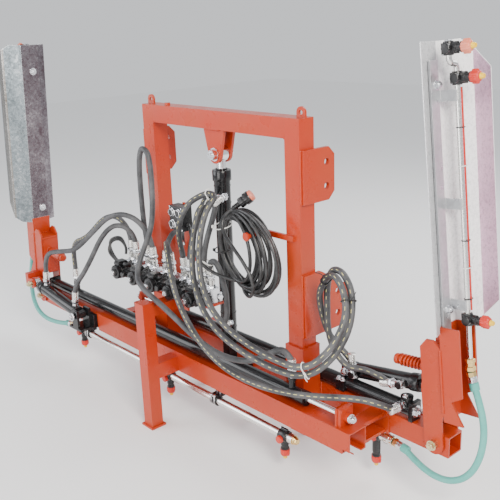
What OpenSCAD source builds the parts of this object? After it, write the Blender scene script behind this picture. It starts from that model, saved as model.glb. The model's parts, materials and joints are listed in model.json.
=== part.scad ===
// Hydraulic strip-spraying boom: two telescoping side booms under a lifting portal,
// with a tilting, shielded spray arm at each end. Millimetres, Z up from the floor,
// X along the boom, +Y away from the control side.

/* [Rails] */
// Length of each fixed outer rail
rail_len = 1100; // [900:10:1400]
// Outside height and depth of a rail
rail_size = 60; // [50:1:80]
// Wall thickness of a rail
rail_wall = 3.5; // [3:0.5:6]
// Height of the rails' underside above the floor
rail_z = 150; // [100:5:250]
// Distance between the front faces of the two rails
rail_pitch = 146; // [140:1:180]
// Width of the slot along the underside of each rail
rail_slot = 26; // [20:1:32]

/* [Telescoping tubes] */
// Outside size of the sliding square tubes
tube_size = 52; // [48:1:52]
// Wall thickness of the sliding tubes
tube_wall = 4; // [3:0.5:6]
// Distance from the portal centre to the left arm's pivot
left_pivot_x = 938; // [800:1:1100]
// Distance from the portal centre to the right arm's pivot
right_pivot_x = 682; // [640:1:900]

/* [Portal] */
// Distance from the centre to each post's outer face
portal_half = 320; // [280:5:400]
// Outside size of the portal's square tube
portal_tube = 50; // [40:5:60]
// Height of the top of the beam
portal_top = 907; // [800:1:1000]
// Height of the lower end of the posts
post_foot_z = 75; // [60:5:100]

/* [Arms] */
// Angle by which both arms lean inwards at rest
arm_lean = 6; // [0:1:10]
// Length of each folded shield
shield_len = 622; // [500:1:700]
// Thickness of the shield's sheet
shield_t = 2; // [1.5:0.5:3]
// Size of the corner cuts on the shield's outer wing
shield_cut = 60; // [20:5:80]

/* [Cylinders] */
// Outside diameter of the telescoping cylinders' barrels
feed_d = 36; // [30:1:45]
// Outside diameter of the tilting cylinders' barrels
tilt_d = 40; // [30:1:45]
// Outside diameter of the lift cylinder's barrel
lift_d = 45; // [40:1:60]
// Diameter of the telescoping and tilting cylinders' rods
rod_d = 16; // [12:1:20]

/* [Spray line] */
// Outside diameter of the spray pipes
pipe_d = 22; // [18:1:26]
// Diameter of the nozzle caps
cap_d = 26; // [22:1:30]
// Outside diameter of the spray hoses
spray_hose_d = 16; // [12:1:20]
// Outside diameter of the hydraulic hoses
hyd_hose_d = 16; // [12:1:20]

/* [Hidden] */
$fn = 48;
sx = 128;
sy = -73;
e = 0.01;
run = 0.06;
orange = [0.86, 0.27, 0.12];
black = [0.06, 0.06, 0.07];
zinc = [0.68, 0.70, 0.72];
steel = [0.78, 0.79, 0.80];
brass = [0.78, 0.62, 0.30];
green = [0.22, 0.62, 0.56];
red = [0.85, 0.17, 0.12];
half = rail_len / 2;
tube_gap = (rail_size - tube_size) / 2;
front_y = rail_size / 2;
rear_y = rail_pitch + rail_size / 2;
boom_z = rail_z + rail_size / 2;
rail_top = rail_z + rail_size;
post_y = 88;
portal_y = post_y + portal_tube / 2;
post_mid = portal_half - portal_tube / 2;
feed_z = 231;
lift_y = portal_y;
lift_pin_z = 790;
lift_foot_z = 250;
leg_x = -126;
leg_y = -87;
leg_top = 385;
shelf_z = 378;
left_tilt_y = -36;
left_tilt_base = [-598, 205];
right_tilt_base = [398, 262];
left_lug = [-34, 66];
right_lug = [-27, 123];
pin_d = 14;
eye_play = 3.6;
shield_bottom = 276;
mast_x = 32;
mast_w = 58;
mast_depth = 50;
riser_x = 78;
clip_z = [336, 560, 786];
pipe_z = 108;
rear_pipe_z = 128;
pipe_y = 14;
rear_pipe_y = 158;
left_pipe_x = [-740, 356];
right_pipe_x = [-430, 548];
front_nozzle_x = [-682, -172, 322];
rear_nozzle_x = [-360, 60, 505];
arm_nozzles_at = [[12, 304], [12, 820], [-14, 880]];
valve_x = [-370, -280, -190, -100, -10];
lift_hose_a = [
    [-24, 52, 452.3], [-23.4, 52.1, 479.9], [-20.2, 52.6, 507.3], [-14.9, 53.9, 534.4],
    [-7.9, 56.4, 561.1], [0, 60.2, 587.3], [7.9, 64.5, 613.4], [15.8, 68.1, 639.6],
    [23.1, 71.9, 666], [20, 92.5, 676]
];
lift_hose_b = [
    [4, 52, 452.3], [5, 51, 478], [14, 48, 500], [34, 46, 506], [50, 48, 486], [56, 52, 453],
    [60.6, 56.7, 419], [56.4, 61.8, 385], [48.2, 67.4, 351.8], [34.3, 71.1, 320.3], [20, 92.5, 306]
];
feed_left_a = [
    [-384, 52, 452.3], [-385, 51.6, 487.2], [-394.1, 49.2, 520.6], [-417.9, 44.2, 545.1],
    [-450.8, 38.2, 553.9], [-484.2, 32.6, 546.5], [-514.1, 27.4, 529.3], [-540.8, 22.6, 507.3],
    [-567.6, 18.4, 485.2], [-596.1, 15.2, 465.3], [-627.5, 13.5, 450.2], [-659.9, 14.1, 437.1],
    [-687.9, 17.8, 416.8], [-708, 23, 388.9], [-718.5, 27.5, 355.9], [-721.8, 29.7, 321.3],
    [-722, 30, 286.3]
];
feed_left_b = [
    [-294, 52, 452.3], [-294.2, 50.8, 486.8], [-295.4, 48.7, 521.3], [-295.9, 46.3, 555.7],
    [-294.9, 44.2, 590.2], [-292.9, 42.1, 624.6], [-290, 40.1, 659], [-286.1, 37.9, 693.2],
    [-280.9, 35.6, 727.3], [-272.1, 33.1, 760.6], [-252.9, 30.2, 788.4], [-223.3, 27.4, 781],
    [-212, 26, 748.7], [-208.4, 24.8, 714.3], [-206.7, 23.3, 679.9], [-205.6, 20.7, 645.5],
    [-205.2, 17.2, 611.1], [-206, 11.2, 577.1], [-209.2, 0.9, 544.3], [-213, -13.3, 513.1],
    [-212.7, -29.8, 482.8], [-206, -47.3, 453.9], [-185.9, -61.6, 430.5], [-154.9, -69.3, 417.6],
    [-121.7, -74, 409.4], [-88.3, -75.6, 400.9], [-56.1, -73.9, 388.6], [-24.9, -70.6, 374.2],
    [5.7, -67.1, 358.5], [35.9, -63.3, 342.2], [66.7, -59.1, 327.1], [98.1, -54.3, 313.7],
    [130.3, -48.1, 302.9], [162.8, -38.9, 295.9], [195.3, -27.5, 293], [227.1, -15.1, 296.9],
    [256.5, -2.7, 310.1], [283.6, 9.5, 327.5], [312.6, 22, 340.9], [335.3, 29.6, 320.7],
    [337.6, 30, 301.4], [338, 30, 286.4]
];
tilt_left_a = [
    [-356, 52, 452.3], [-356.4, 49.3, 483.8], [-361.3, 41.4, 513.9], [-377.1, 26.2, 536],
    [-403.3, 9.9, 537.7], [-428.2, -1.5, 522.3], [-449.2, -9.6, 500], [-468.1, -15.7, 475.4],
    [-485.8, -20.5, 449.5], [-503.4, -24.6, 423.6], [-522.1, -28.2, 398.3], [-541.7, -31.4, 373.7],
    [-562.7, -33.9, 350.1], [-585.4, -35.4, 328], [-606.4, -36, 304.4], [-619.4, -36, 275.7],
    [-622.8, -36, 259.4], [-625, -36, 244.6]
];
tilt_left_b = [
    [-266, 52, 452.3], [-266.5, 49.4, 486.8], [-271, 43.2, 520.6], [-282.6, 32.6, 551.3],
    [-303.1, 18.7, 575.1], [-332.7, 4.6, 585.2], [-365.1, -6.7, 581.8], [-396.3, -15.3, 569.6],
    [-424.9, -21.3, 551.1], [-451.9, -25.9, 530], [-479.1, -29.8, 508.8], [-506.4, -33.3, 487.9],
    [-534, -36.3, 467.1], [-562.8, -38.8, 448.1], [-593.9, -40.5, 433], [-627, -41.5, 422.7],
    [-660.7, -41.9, 414.8], [-694.4, -41.9, 406.8], [-728, -41.5, 398.1], [-760.7, -40.5, 386.9],
    [-789, -38.9, 367.4], [-807.9, -37.2, 338.7], [-816.6, -36.2, 305.2], [-820.3, -36, 270.8]
];
tilt_right_a = [
    [-114, 52, 452.3], [-112.5, 47.7, 492.2], [-103.9, 36, 529.6], [-90.1, 22.3, 564.7],
    [-72.5, 12.9, 599.6], [-51.6, 11.2, 633.7], [-27.1, 16.8, 665], [5.2, 25.6, 686.7],
    [42.7, 30.5, 700.3], [76.1, 20.7, 696.4], [77.4, -6.8, 667.2], [81.5, -27.5, 633.1],
    [87.4, -42.5, 596.3], [97.1, -55.3, 559.5], [111.9, -66.5, 523.8], [131.9, -75.4, 490.2],
    [157.2, -81.7, 459.6], [188.9, -86.1, 435.5], [225.1, -89.2, 418.4], [263.3, -91.1, 406],
    [302.5, -91.9, 397.3], [342.1, -91.9, 390.6], [382, -91, 385.8], [422, -88.4, 382.9],
    [461.9, -83.1, 382.6], [497.1, -68.8, 393.3], [518.4, -45.5, 417.8], [527.2, -19, 446.5],
    [526, 7.1, 477], [516.1, 26.7, 510.4], [494.8, 40.8, 541.1], [462.3, 53.8, 560],
    [427.5, 68.2, 549.9], [400.2, 79.6, 522.8], [378, 91.4, 491.5], [366.1, 105, 455.8],
    [362.2, 118.3, 418.1], [364, 131.1, 380], [377.3, 144, 344.7], [406.4, 152.1, 318.7],
    [424, 154, 301.6], [426.4, 154, 286.8]
];
tilt_right_b = [
    [-86, 52, 452.3], [-85, 52, 496.4], [-77.5, 56, 539.7], [-61.9, 60.1, 580.8],
    [-42.6, 61.8, 620.5], [-19.5, 59.3, 657.9], [12.1, 54.2, 688.1], [38.9, 40.1, 685.3],
    [30.2, 6.2, 659.1], [35.2, -15.3, 621], [44.1, -32.2, 581.2], [54.9, -46.1, 540.7],
    [69.2, -56.7, 500.3], [91.1, -65.6, 463.1], [120.1, -72.9, 430.7], [155.5, -78.2, 405],
    [195.1, -81.7, 385.7], [237.2, -83.5, 372.7], [280.5, -84, 364.2], [324.2, -83.9, 358],
    [368.2, -82.5, 354.1], [412.2, -78.7, 352.5], [455.7, -71.7, 354.9], [493.8, -56.6, 369.7],
    [516.8, -30.4, 396.2], [526.3, -0.5, 427.1], [527.3, 25.1, 462.9], [520.8, 43.4, 502.5],
    [503.7, 57.5, 540.4], [471, 68.8, 567.1], [431.1, 82.3, 563.2], [403, 96, 532.5],
    [387.8, 107.1, 492.8], [382.8, 112.3, 449.3], [379.7, 116.5, 405.4], [381.4, 123.6, 361.9],
    [394.5, 132.5, 321], [428.2, 137.4, 294.9], [469.3, 152.1, 293.6], [513, 154.3, 290.8],
    [541.4, 154, 284.9], [556.2, 154, 287.3]
];
feed_right_a = [
    [-176, 52, 452.3], [-175.4, 48.1, 484.3], [-167.7, 35.5, 512.6], [-147.3, 18.1, 529.7],
    [-121.1, 0.1, 529.8], [-96.5, -15.7, 516.4], [-74, -29.1, 497.7], [-53, -40.8, 476.1],
    [-32.5, -50.7, 453.3], [-10.5, -59.1, 431.2], [12.9, -65.8, 410], [37.4, -71.5, 389.8],
    [63, -76.2, 370.8], [89.7, -80.1, 353], [117.4, -83, 336.8], [146.3, -84.7, 322.5],
    [176.1, -85.3, 310.3], [206.7, -84.6, 300], [237.9, -82.4, 292.1], [269.5, -78.7, 286.6],
    [301.1, -73.6, 282.9], [332.6, -66.9, 280.7], [363.8, -58.5, 280], [394.3, -48.2, 280.1],
    [424.2, -36, 280.7], [453, -21.6, 281.8], [480.6, -4.8, 283.1], [506.8, 14, 284],
    [532.4, 33.5, 283], [557, 54, 278.7], [577.4, 76.3, 267.9], [588.5, 102.2, 252.6],
    [590, 118.6, 247.5], [590, 133.5, 246]
];
feed_right_b = [
    [-204, 52, 452.3], [-204.1, 55.4, 484.8], [-205.8, 67.8, 514.8], [-211.3, 92.8, 533.7],
    [-219.6, 122.3, 525.5], [-227.6, 143.1, 501.8], [-235.7, 158.8, 474.3], [-244.6, 171.7, 445.6],
    [-255.1, 181.6, 416.3], [-269.1, 188.3, 387.5], [-288.3, 191.4, 361.4], [-314.9, 190.1, 342.8],
    [-344.6, 182.9, 331.4], [-370.5, 170.4, 316.2], [-378, 164.9, 301.6], [-378, 164, 286.6]
];
green_right = [
    [559.6, 158, 128], [591.7, 156.5, 121.8], [623.5, 152, 110], [656.2, 148, 100.4],
    [690.1, 146.3, 96.3], [723.9, 147.9, 100.7], [753.5, 152.9, 116.6], [774.2, 159.4, 142.8],
    [785.4, 166.1, 174.4], [789.2, 172.6, 207.8], [786.7, 178.3, 241.4], [778.3, 182.5, 274.3],
    [765.5, 185.7, 306], [751.8, 187.7, 337.3], [741, 188, 368.6]
];
green_left = [
    [-751.6, 14, 108], [-783.8, 11.6, 104.3], [-816.8, 6.3, 98.5], [-850.1, 1, 94.3],
    [-883.7, -3, 92.2], [-917.6, -4.5, 92], [-951.4, -3.8, 94.8], [-984.3, -1.7, 102.7],
    [-1013.8, 1.6, 118.8], [-1035.3, 5.6, 144.4], [-1046.5, 9.5, 176.1], [-1049.2, 12.7, 209.7],
    [-1045.3, 15, 243.3], [-1036.5, 16.7, 276], [-1024.3, 17.7, 307.7], [-1010.8, 18, 338.8],
    [-997, 18, 368.6]
];

// ---------- helpers ----------

module placed() translate([sx, sy, 0]) children();

module block(x, y, z) {
    translate([x[0], y[0], z[0]]) cube([x[1] - x[0], y[1] - y[0], z[1] - z[0]]);
}

module rod_x(x, y, z, d) {
    translate([x[0], y, z]) rotate([0, 90, 0]) cylinder(d = d, h = x[1] - x[0]);
}

module rod_y(x, y, z, d) {
    translate([x, y[0], z]) rotate([-90, 0, 0]) cylinder(d = d, h = y[1] - y[0]);
}

module rod_z(x, y, z, d) {
    translate([x, y, z[0]]) cylinder(d = d, h = z[1] - z[0]);
}

function spline(a, b, c, d, t) = 0.5 * (2 * b + (c - a) * t
    + (2 * a - 5 * b + 4 * c - d) * t * t + (3 * b - a - 3 * c + d) * t * t * t);

function route(p, k) = [
    for (i = [0 : len(p) - 2], j = [0 : k - 1])
        spline(p[max(i - 1, 0)], p[i], p[i + 1], p[min(i + 2, len(p) - 1)], j / k),
    p[len(p) - 1]
];

function unit(v) = v / norm(v);

// A round tube swept along smoothed route points.
module hose(points, d, k = 3, sides = 8) {
    p = route(points, k);
    n = len(p);
    rings = [
        for (i = [0 : n - 1])
            let (t = unit(p[min(i + 1, n - 1)] - p[max(i - 1, 0)]),
                 s = unit(cross(t, [0.13, 0.97, 0.21])),
                 w = cross(s, t))
            for (j = [0 : sides - 1])
                p[i] + d / 2 * (cos(360 * j / sides) * s + sin(360 * j / sides) * w)
    ];
    walls = [
        for (i = [0 : n - 2], j = [0 : sides - 1])
            [i * sides + j, i * sides + (j + 1) % sides,
             (i + 1) * sides + (j + 1) % sides, (i + 1) * sides + j]
    ];
    polyhedron(rings, concat(
        walls,
        [[for (j = [sides - 1 : -1 : 0]) j]],
        [[for (j = [0 : sides - 1]) (n - 1) * sides + j]]
    ), convexity = 8);
}

// ---------- rails ----------

// Lipped channel, open along a slot underneath.
module rail(y) {
    difference() {
        block([-half, half], [y, y + rail_size], [rail_z, rail_top]);
        block([-half - 1, half + 1], [y + rail_wall, y + rail_size - rail_wall],
              [rail_z + rail_wall, rail_top - rail_wall]);
        block([-half - 1, half + 1],
              [y + (rail_size - rail_slot) / 2, y + (rail_size + rail_slot) / 2],
              [rail_z - 1, rail_z + rail_wall + 1]);
    }
}

module front_rail() color(orange) placed() difference() {
    rail(0);
    block([half - 22, half + 1], [-1, 16], [rail_z - 1, rail_z + 12]);
}

module rear_rail() color(orange) placed() {
    rail(rail_pitch);
    translate([0, 0, rail_top]) linear_extrude(2) polygon([
        [470, rail_pitch + 4], [540, rail_pitch + 4], [549, rail_pitch + 14],
        [549, rail_pitch + 46], [540, rail_pitch + 56], [470, rail_pitch + 56]
    ]);
}

// Flat bars tying the two rails together near both ends.
module bridges() color(orange) placed() {
    for (x = [-520, -430, 400, 500]) {
        block([x, x + 40], [rail_size, rail_pitch], [rail_top - 12, rail_top - 2]);
        block([x, x + 40], [rail_size, rail_pitch], [rail_z + 2, rail_z + 10]);
    }
}

// Square sleeve between the rails in which one portal post slides.
module guide(cx) {
    w = portal_tube / 2 + 0.5;
    difference() {
        union() {
            block([cx - w - 6, cx + w + 6], [post_y - 6.5, post_y + portal_tube + 6.5],
                  [rail_z + 4, 325]);
            for (dx = [-w - 6, w])
                block([cx + dx, cx + dx + 6], [rail_size, rail_pitch], [rail_z + 4, 200]);
        }
        block([cx - w, cx + w], [post_y - 0.5, post_y + portal_tube + 0.5],
              [rail_z, 330]);
    }
}

module left_guide() color(orange) placed() guide(-post_mid);

module right_guide() color(orange) placed() guide(post_mid);

// Two short parking legs behind the rear rail.
module rear_legs() color(orange) placed() {
    for (x = [-220, 220]) {
        block([x - 20, x + 20], [rail_pitch + rail_size, rail_pitch + rail_size + 40],
              [6, rail_top]);
        block([x - 32, x + 32], [rail_pitch + rail_size - 12, rail_pitch + rail_size + 52],
              [0, 6]);
    }
}

// Front parking leg with its stub, and the arm that carries the valve shelf.
module leg() color(orange) placed() {
    translate([leg_x - 20, leg_y - 19, 6]) cube([40, 38, leg_top - 6]);
    block([leg_x - 26, leg_x + 26], [leg_y - 25, leg_y + 25], [0, 6]);
    block([leg_x - 20, leg_x + 20], [leg_y + 19, 0], [rail_z, rail_z + 46]);
    block([leg_x - 20, leg_x + 20], [leg_y + 19, 20], [shelf_z - 34, shelf_z - 4]);
}

module valve_shelf() color(orange) placed() {
    difference() {
        block([-430, 24], [20, 84], [shelf_z - 4, shelf_z + 2]);
        for (x = [-410, -235, -145, 4]) rod_z(x, 76, [shelf_z - 5, shelf_z + 3], 9);
    }
    block([leg_x - 60, leg_x + 60], [20, 26], [shelf_z - 34, shelf_z - 4]);
    block([-140, -116], [78, 84], [shelf_z + 2, 640]);
}

// Valve sections, each with two hose ports, on one long base block.
module valve_blocks() color(zinc) placed() {
    for (x = valve_x) {
        block([x - 30, x + 30], [34, 70], [shelf_z + 2, shelf_z + 46]);
        for (dx = [-14, 14]) {
            rod_z(x + dx, 52, [shelf_z + 46, 434], 20);
            rod_z(x + dx, 52, [434, 452], 22);
        }
    }
    block([-400, 20], [58, 78], [shelf_z + 2, shelf_z + 30]);
}

module solenoids() color(black) placed() {
    for (x = valve_x) {
        rod_y(x, [-26, 34], shelf_z + 24, 38);
        rod_y(x, [-38, -26], shelf_z + 24, 22);
    }
}

// ---------- lift cylinder ----------

module lift_barrel() color(black) placed() {
    difference() {
        union() {
            rod_z(0, lift_y, [lift_foot_z, 746], lift_d);
            rod_z(0, lift_y, [720, 746], lift_d + 6);
            rod_y(20, [93, lift_y], 676, 14);
            rod_y(20, [93, lift_y], 306, 14);
        }
        rod_z(0, lift_y, [lift_foot_z + 20, 730], lift_d - 9);
        rod_z(0, lift_y, [725, 750], 25 + 2 * run);
    }
    block([-14, 14], [lift_y - 14, lift_y + 14], [rail_z + 26, lift_foot_z + 4]);
    block([-60, 60], [rail_size, rail_pitch], [rail_z + 14, rail_z + 26]);
}

module lift_rod() color(steel) placed() {
    rod_z(0, lift_y, [300, lift_pin_z - 14], 25);
    difference() {
        rod_y(0, [lift_y - 12, lift_y + 12], lift_pin_z, 44);
        rod_y(0, [lift_y - 13, lift_y + 13], lift_pin_z, 18 + 2 * run);
    }
}

// ---------- portal ----------

module post(cx) {
    difference() {
        block([cx - portal_tube / 2, cx + portal_tube / 2],
              [post_y, post_y + portal_tube], [post_foot_z, portal_top]);
        block([cx - portal_tube / 2 + 4, cx + portal_tube / 2 - 4],
              [post_y + 4, post_y + portal_tube - 4], [post_foot_z - 1, portal_top - 4]);
    }
    s = cx > 0 ? 1 : -1;
    translate([cx + s * 10, portal_y + 3, portal_top]) rotate([90, 0, 0])
        difference() {
            linear_extrude(6) union() {
                translate([-14, 0]) square([28, 12]);
                translate([0, 12]) circle(14);
            }
            translate([0, 12, -1]) cylinder(d = 12, h = 8);
        }
}

module left_post() color(orange) placed() post(-post_mid);

module right_post() color(orange) placed() {
    post(post_mid);
    block([188, 300], [post_y - 8, post_y], [606, 620]);
    rod_y(195, [post_y - 66, post_y - 6], 613, 10);
    rod_y(195, [post_y - 70, post_y - 64], 613, 22);
}

module top_beam() color(orange) placed() {
    inner = post_mid - portal_tube / 2;
    difference() {
        block([-inner, inner], [post_y, post_y + portal_tube],
              [portal_top - portal_tube, portal_top]);
        block([-inner - 1, inner + 1], [post_y + 4, post_y + portal_tube - 4],
              [portal_top - portal_tube + 4, portal_top - 4]);
    }
    rod_z(-inner + 60, post_y + 12, [portal_top, portal_top + 8], 16);
}

module clevis_plate(y) {
    translate([0, y + 8, 0]) rotate([90, 0, 0]) linear_extrude(8) difference() {
        union() {
            polygon([[-42, portal_top - portal_tube], [42, portal_top - portal_tube],
                     [24, lift_pin_z - 8], [-24, lift_pin_z - 8]]);
            translate([0, lift_pin_z]) circle(25);
        }
        translate([0, lift_pin_z]) circle(d = 18 + 2 * run);
    }
}

module beam_clevis() color(orange) placed() {
    clevis_plate(lift_y - 21);
    clevis_plate(lift_y + 13);
    rod_y(0, [lift_y - 26, lift_y + 26], lift_pin_z, 18);
    rod_y(0, [lift_y - 30, lift_y - 21], lift_pin_z, 28);
    rod_y(0, [lift_y + 21, lift_y + 30], lift_pin_z, 28);
}

// Bolting plates on the outer face of a post, reaching backwards.
module hitch_plates(side) {
    x0 = side > 0 ? portal_half : -portal_half - 10;
    translate([x0, 0, 0]) rotate([90, 0, 90]) linear_extrude(10) difference() {
        union() {
            polygon([[post_y + 4, 700], [180, 700], [200, 720], [200, 812],
                     [180, 832], [post_y + 4, 832]]);
            polygon([[post_y + 4, 352], [220, 352], [252, 384], [252, 458],
                     [150, 520], [post_y + 4, 520]]);
        }
        for (z = [736, 796]) translate([172, z]) circle(d = 17);
        for (z = [392, 452]) translate([212, z]) circle(d = 17);
    }
}

module left_hitch_plates() color(orange) placed() hitch_plates(-1);

module right_hitch_plates() color(orange) placed() hitch_plates(1);

// Coiled control cable hanging on the peg of the right post.
module cable_coil() color(black) placed() {
    translate([148, post_y - 34, 566]) rotate([90, 0, 0])
        rotate_extrude() translate([90, 0]) circle(d = 36);
}

module cable_plug() color([0.1, 0.1, 0.1]) placed() {
    translate([136, post_y - 34, 668]) rotate([0, 55, 0]) {
        cylinder(d = 30, h = 44);
        translate([0, 0, 44]) cylinder(d = 22, h = 14);
    }
}

module cable_block() color(black) placed() {
    block([-158, -98], [post_y - 44, post_y - 10], [566, 636]);
    for (dx = [-15, 15], dz = [-17, 17])
        rod_y(-128 + dx, [post_y - 52, post_y - 44], 601 + dz, 20);
}

// ---------- sliding booms ----------

module slide_tube(x, y, pivot) {
    a = y - tube_size / 2;
    difference() {
        block(x, [a, a + tube_size], [boom_z - tube_size / 2, boom_z + tube_size / 2]);
        block([x[0] - 1, x[1] + 1], [a + tube_wall, a + tube_size - tube_wall],
              [boom_z - tube_size / 2 + tube_wall, boom_z + tube_size / 2 - tube_wall]);
        rod_y(pivot, [a - 1, a + tube_size + 1], boom_z, pin_d + 2 * run);
    }
}

module left_tube() color(orange) placed()
    slide_tube([-left_pivot_x - 36, 150], front_y, -left_pivot_x);

module right_tube() color(orange) placed()
    slide_tube([-350, right_pivot_x + 36], rear_y, right_pivot_x);

// Telescoping barrel on top of a rail, hollow, with its gland at the rod end.
module feed_barrel(x, y, side) {
    tip = side > 0 ? x[1] : x[0];
    difference() {
        union() {
            rod_x(x, y, feed_z, feed_d);
            rod_x(side > 0 ? [tip - 26, tip] : [tip, tip + 26], y, feed_z, feed_d + 2);
            rod_z(tip - side * 52, y, [feed_z, 286], 18);
            if (side > 0) rod_z(x[0] + 158, y, [feed_z, 286], 18);
            else {
                rod_z(x[1] - 16, y, [feed_z, 262], 30);
                rod_y(x[1] - 16, [y - 30, y], 246, 18);
            }
        }
        rod_x(side > 0 ? [x[0] + 14, tip - 20] : [tip + 20, x[1] - 14], y, feed_z,
              feed_d - 8);
        rod_x(side > 0 ? [tip - 21, tip + 1] : [tip - 1, tip + 21], y, feed_z,
              rod_d + 2 * run);
    }
}

module left_barrel() color(black) placed() feed_barrel([-880, 390], front_y, 1);

module right_barrel() color(black) placed() feed_barrel([-430, 606], 164, -1);

module feed_rods() color(steel) placed() {
    rod_x([-20, 505], front_y, feed_z, rod_d);
    rod_x([-505, -20], 164, feed_z, rod_d);
}

// Upstands on the rails that hold the ends of the two telescoping rods.
module rod_posts() color(orange) placed() {
    block([505, 517], [front_y - 22, front_y + 22], [rail_top, 256]);
    block([-517, -505], [164 - 14, 164 + 22], [rail_top, 256]);
    rod_x([517, 529], front_y, feed_z, 24);
    rod_x([-529, -517], 164, feed_z, 24);
}

// Straps under a boom that carry its spray pipe through the rail's slot.
module hangers(xs, y, py, z) {
    for (x = xs) {
        block([x - 15, x + 15], [min(y, py) - 5, max(y, py) + 5],
              [z + pipe_d / 2 + 0.1, z + pipe_d / 2 + 6]);
        block([x - 15, x + 15], [y - 5, y + 5],
              [z + pipe_d / 2 + 0.1, boom_z - tube_size / 2]);
        difference() {
            rod_x([x - 12, x + 12], py, z, pipe_d + 8);
            rod_x([x - 13, x + 13], py, z, pipe_d);
        }
    }
}

module left_brackets() color(zinc) placed() {
    block([-892, -880], [front_y - 20, front_y + 20], [boom_z + tube_size / 2, 254]);
    hangers([-640, 48], front_y, pipe_y, pipe_z);
    translate([0, 4, 0]) {
        block([-636, -560], [-14, 0], [157, 203]);
        block([-636, -560], [-66, -14], [rail_z + 7, rail_z + 15]);
    }
    for (y = [left_tilt_y - 26, left_tilt_y + 18]) difference() {
        block([-610, -576], [y, y + 8], [rail_z + 7, 226]);
        rod_y(left_tilt_base[0], [y - 1, y + 9], left_tilt_base[1], pin_d);
    }
    rod_y(left_tilt_base[0], [left_tilt_y - 30, left_tilt_y + 26],
          left_tilt_base[1], pin_d);
}

module right_brackets() color(zinc) placed() {
    block([606, 616], [164 - 16, 164 + 20], [boom_z + tube_size / 2, 254]);
    difference() {
        union() {
            block([382, 409], [144, 202], [rail_top + 4, 243]);
            for (y = [166, 196.5]) block([382, 409], [y, y + 5.5], [rail_top + 4, 278]);
        }
        rod_x([381, 415], 164, feed_z, feed_d);
        rod_y(right_tilt_base[0], [160, 204], right_tilt_base[1], pin_d);
    }
    rod_y(right_tilt_base[0], [163, 206], right_tilt_base[1], pin_d);
    hangers([-300, 440], rear_y, rear_pipe_y, rear_pipe_z);
}

// ---------- spray line ----------

module spray_pipe(x, y, z, side) {
    difference() {
        rod_x(x, y, z, pipe_d);
        rod_x([x[0] + 3, x[1] - 3], y, z, pipe_d - 4);
    }
    rod_x([x[side > 0 ? 1 : 0] - (side > 0 ? 14 : 0),
           x[side > 0 ? 1 : 0] + (side > 0 ? 0 : 14)], y, z, pipe_d + 4);
}

module front_pipe() color(steel) placed() {
    spray_pipe(left_pipe_x, pipe_y, pipe_z, 1);
    rod_x([left_pipe_x[0] - 10, left_pipe_x[0] + 12], pipe_y, pipe_z, pipe_d + 2);
}

module rear_pipe() color(steel) placed() {
    spray_pipe(right_pipe_x, rear_pipe_y, rear_pipe_z, 1);
    rod_x([right_pipe_x[1] - 2, right_pipe_x[1] + 10], rear_pipe_y, rear_pipe_z,
          pipe_d + 2);
}

// Nozzle body: clamp ring round the pipe and a stub hanging from it.
module nozzle_body(x, y, z, drop) {
    difference() {
        union() {
            rod_x([x - 14, x + 14], y, z, pipe_d + 9);
            rod_z(x, y, [z - drop, z - 8], 20);
            rod_y(x, [y - 18, y - 8], z - 4, 18);
        }
        rod_x([x - 15, x + 15], y, z, pipe_d);
    }
}

module nozzle_cap(x, y, z, drop) {
    rod_z(x, y, [z - drop - 20, z - drop], cap_d);
    rod_z(x, y, [z - drop - 28, z - drop - 20], 14);
}

module front_nozzles() color(black) placed()
    for (x = front_nozzle_x) nozzle_body(x, pipe_y, pipe_z, 38);

module front_caps() color(red) placed()
    for (x = front_nozzle_x) nozzle_cap(x, pipe_y, pipe_z, 38);

module rear_nozzles() color(black) placed()
    for (x = rear_nozzle_x) nozzle_body(x, rear_pipe_y, rear_pipe_z, 62);

module rear_caps() color(red) placed()
    for (x = rear_nozzle_x) nozzle_cap(x, rear_pipe_y, rear_pipe_z, 62);

// ---------- tilting cylinders ----------

// Frame with +X along the cylinder, from its base pin to the arm's lug pin.
module tilt_frame(base, lug, y) {
    d = lug - base;
    translate([base[0], y, base[1]]) rotate([0, -atan2(d[1], d[0]), 0]) children();
}

module tilt_barrel(len, eye, side) {
    difference() {
        union() {
            rod_x([14, len], 0, 0, tilt_d);
            rod_x([len - 24, len], 0, 0, tilt_d + 3);
            rod_y(0, [-12, 12], 0, 28);
            rod_x([0, 20], 0, 0, 22);
            for (x = [32, len - 40])
                if (side > 0) rod_y(x, [-40, 0], 0, 18);
                else rod_z(x, 0, [-34, 0], 18);
            if (side > 0) {
                rod_z(32, -30, [0, 18], 16);
                rod_x([len - 58, len - 40], -30, 0, 16);
            }
        }
        rod_x([26, len - 16], 0, 0, tilt_d - 9);
        rod_x([len - 17, len + 1], 0, 0, rod_d + 2 * run);
        rod_y(0, [-13, 13], 0, eye);
    }
}

module tilt_rod(start, len) {
    rod_x([start, len - 16], 0, 0, rod_d);
    difference() {
        rod_y(len, [-9, 9], 0, 38);
        rod_y(len, [-10, 10], 0, pin_d + 2 * eye_play);
    }
}

left_lug_w = [-left_pivot_x - left_lug[0], boom_z + left_lug[1]];
right_lug_w = [right_pivot_x + right_lug[0], boom_z + right_lug[1]];
left_tilt_len = norm(left_lug_w - left_tilt_base);
right_tilt_len = norm(right_lug_w - right_tilt_base);

module left_tilt_barrel() color(black) placed()
    tilt_frame(left_tilt_base, left_lug_w, left_tilt_y)
        tilt_barrel(left_tilt_len - 40, pin_d + 2 * run, -1);

module left_tilt_rod() color(steel) placed()
    tilt_frame(left_tilt_base, left_lug_w, left_tilt_y)
        tilt_rod(left_tilt_len - 170, left_tilt_len);

module right_tilt_barrel() color(black) placed()
    tilt_frame(right_tilt_base, right_lug_w, 184)
        tilt_barrel(right_tilt_len - 40, pin_d + 2 * run, 1);

module right_tilt_rod() color(steel) placed()
    tilt_frame(right_tilt_base, right_lug_w, 184)
        tilt_rod(right_tilt_len - 170, right_tilt_len);

// ---------- arms ----------

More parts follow.
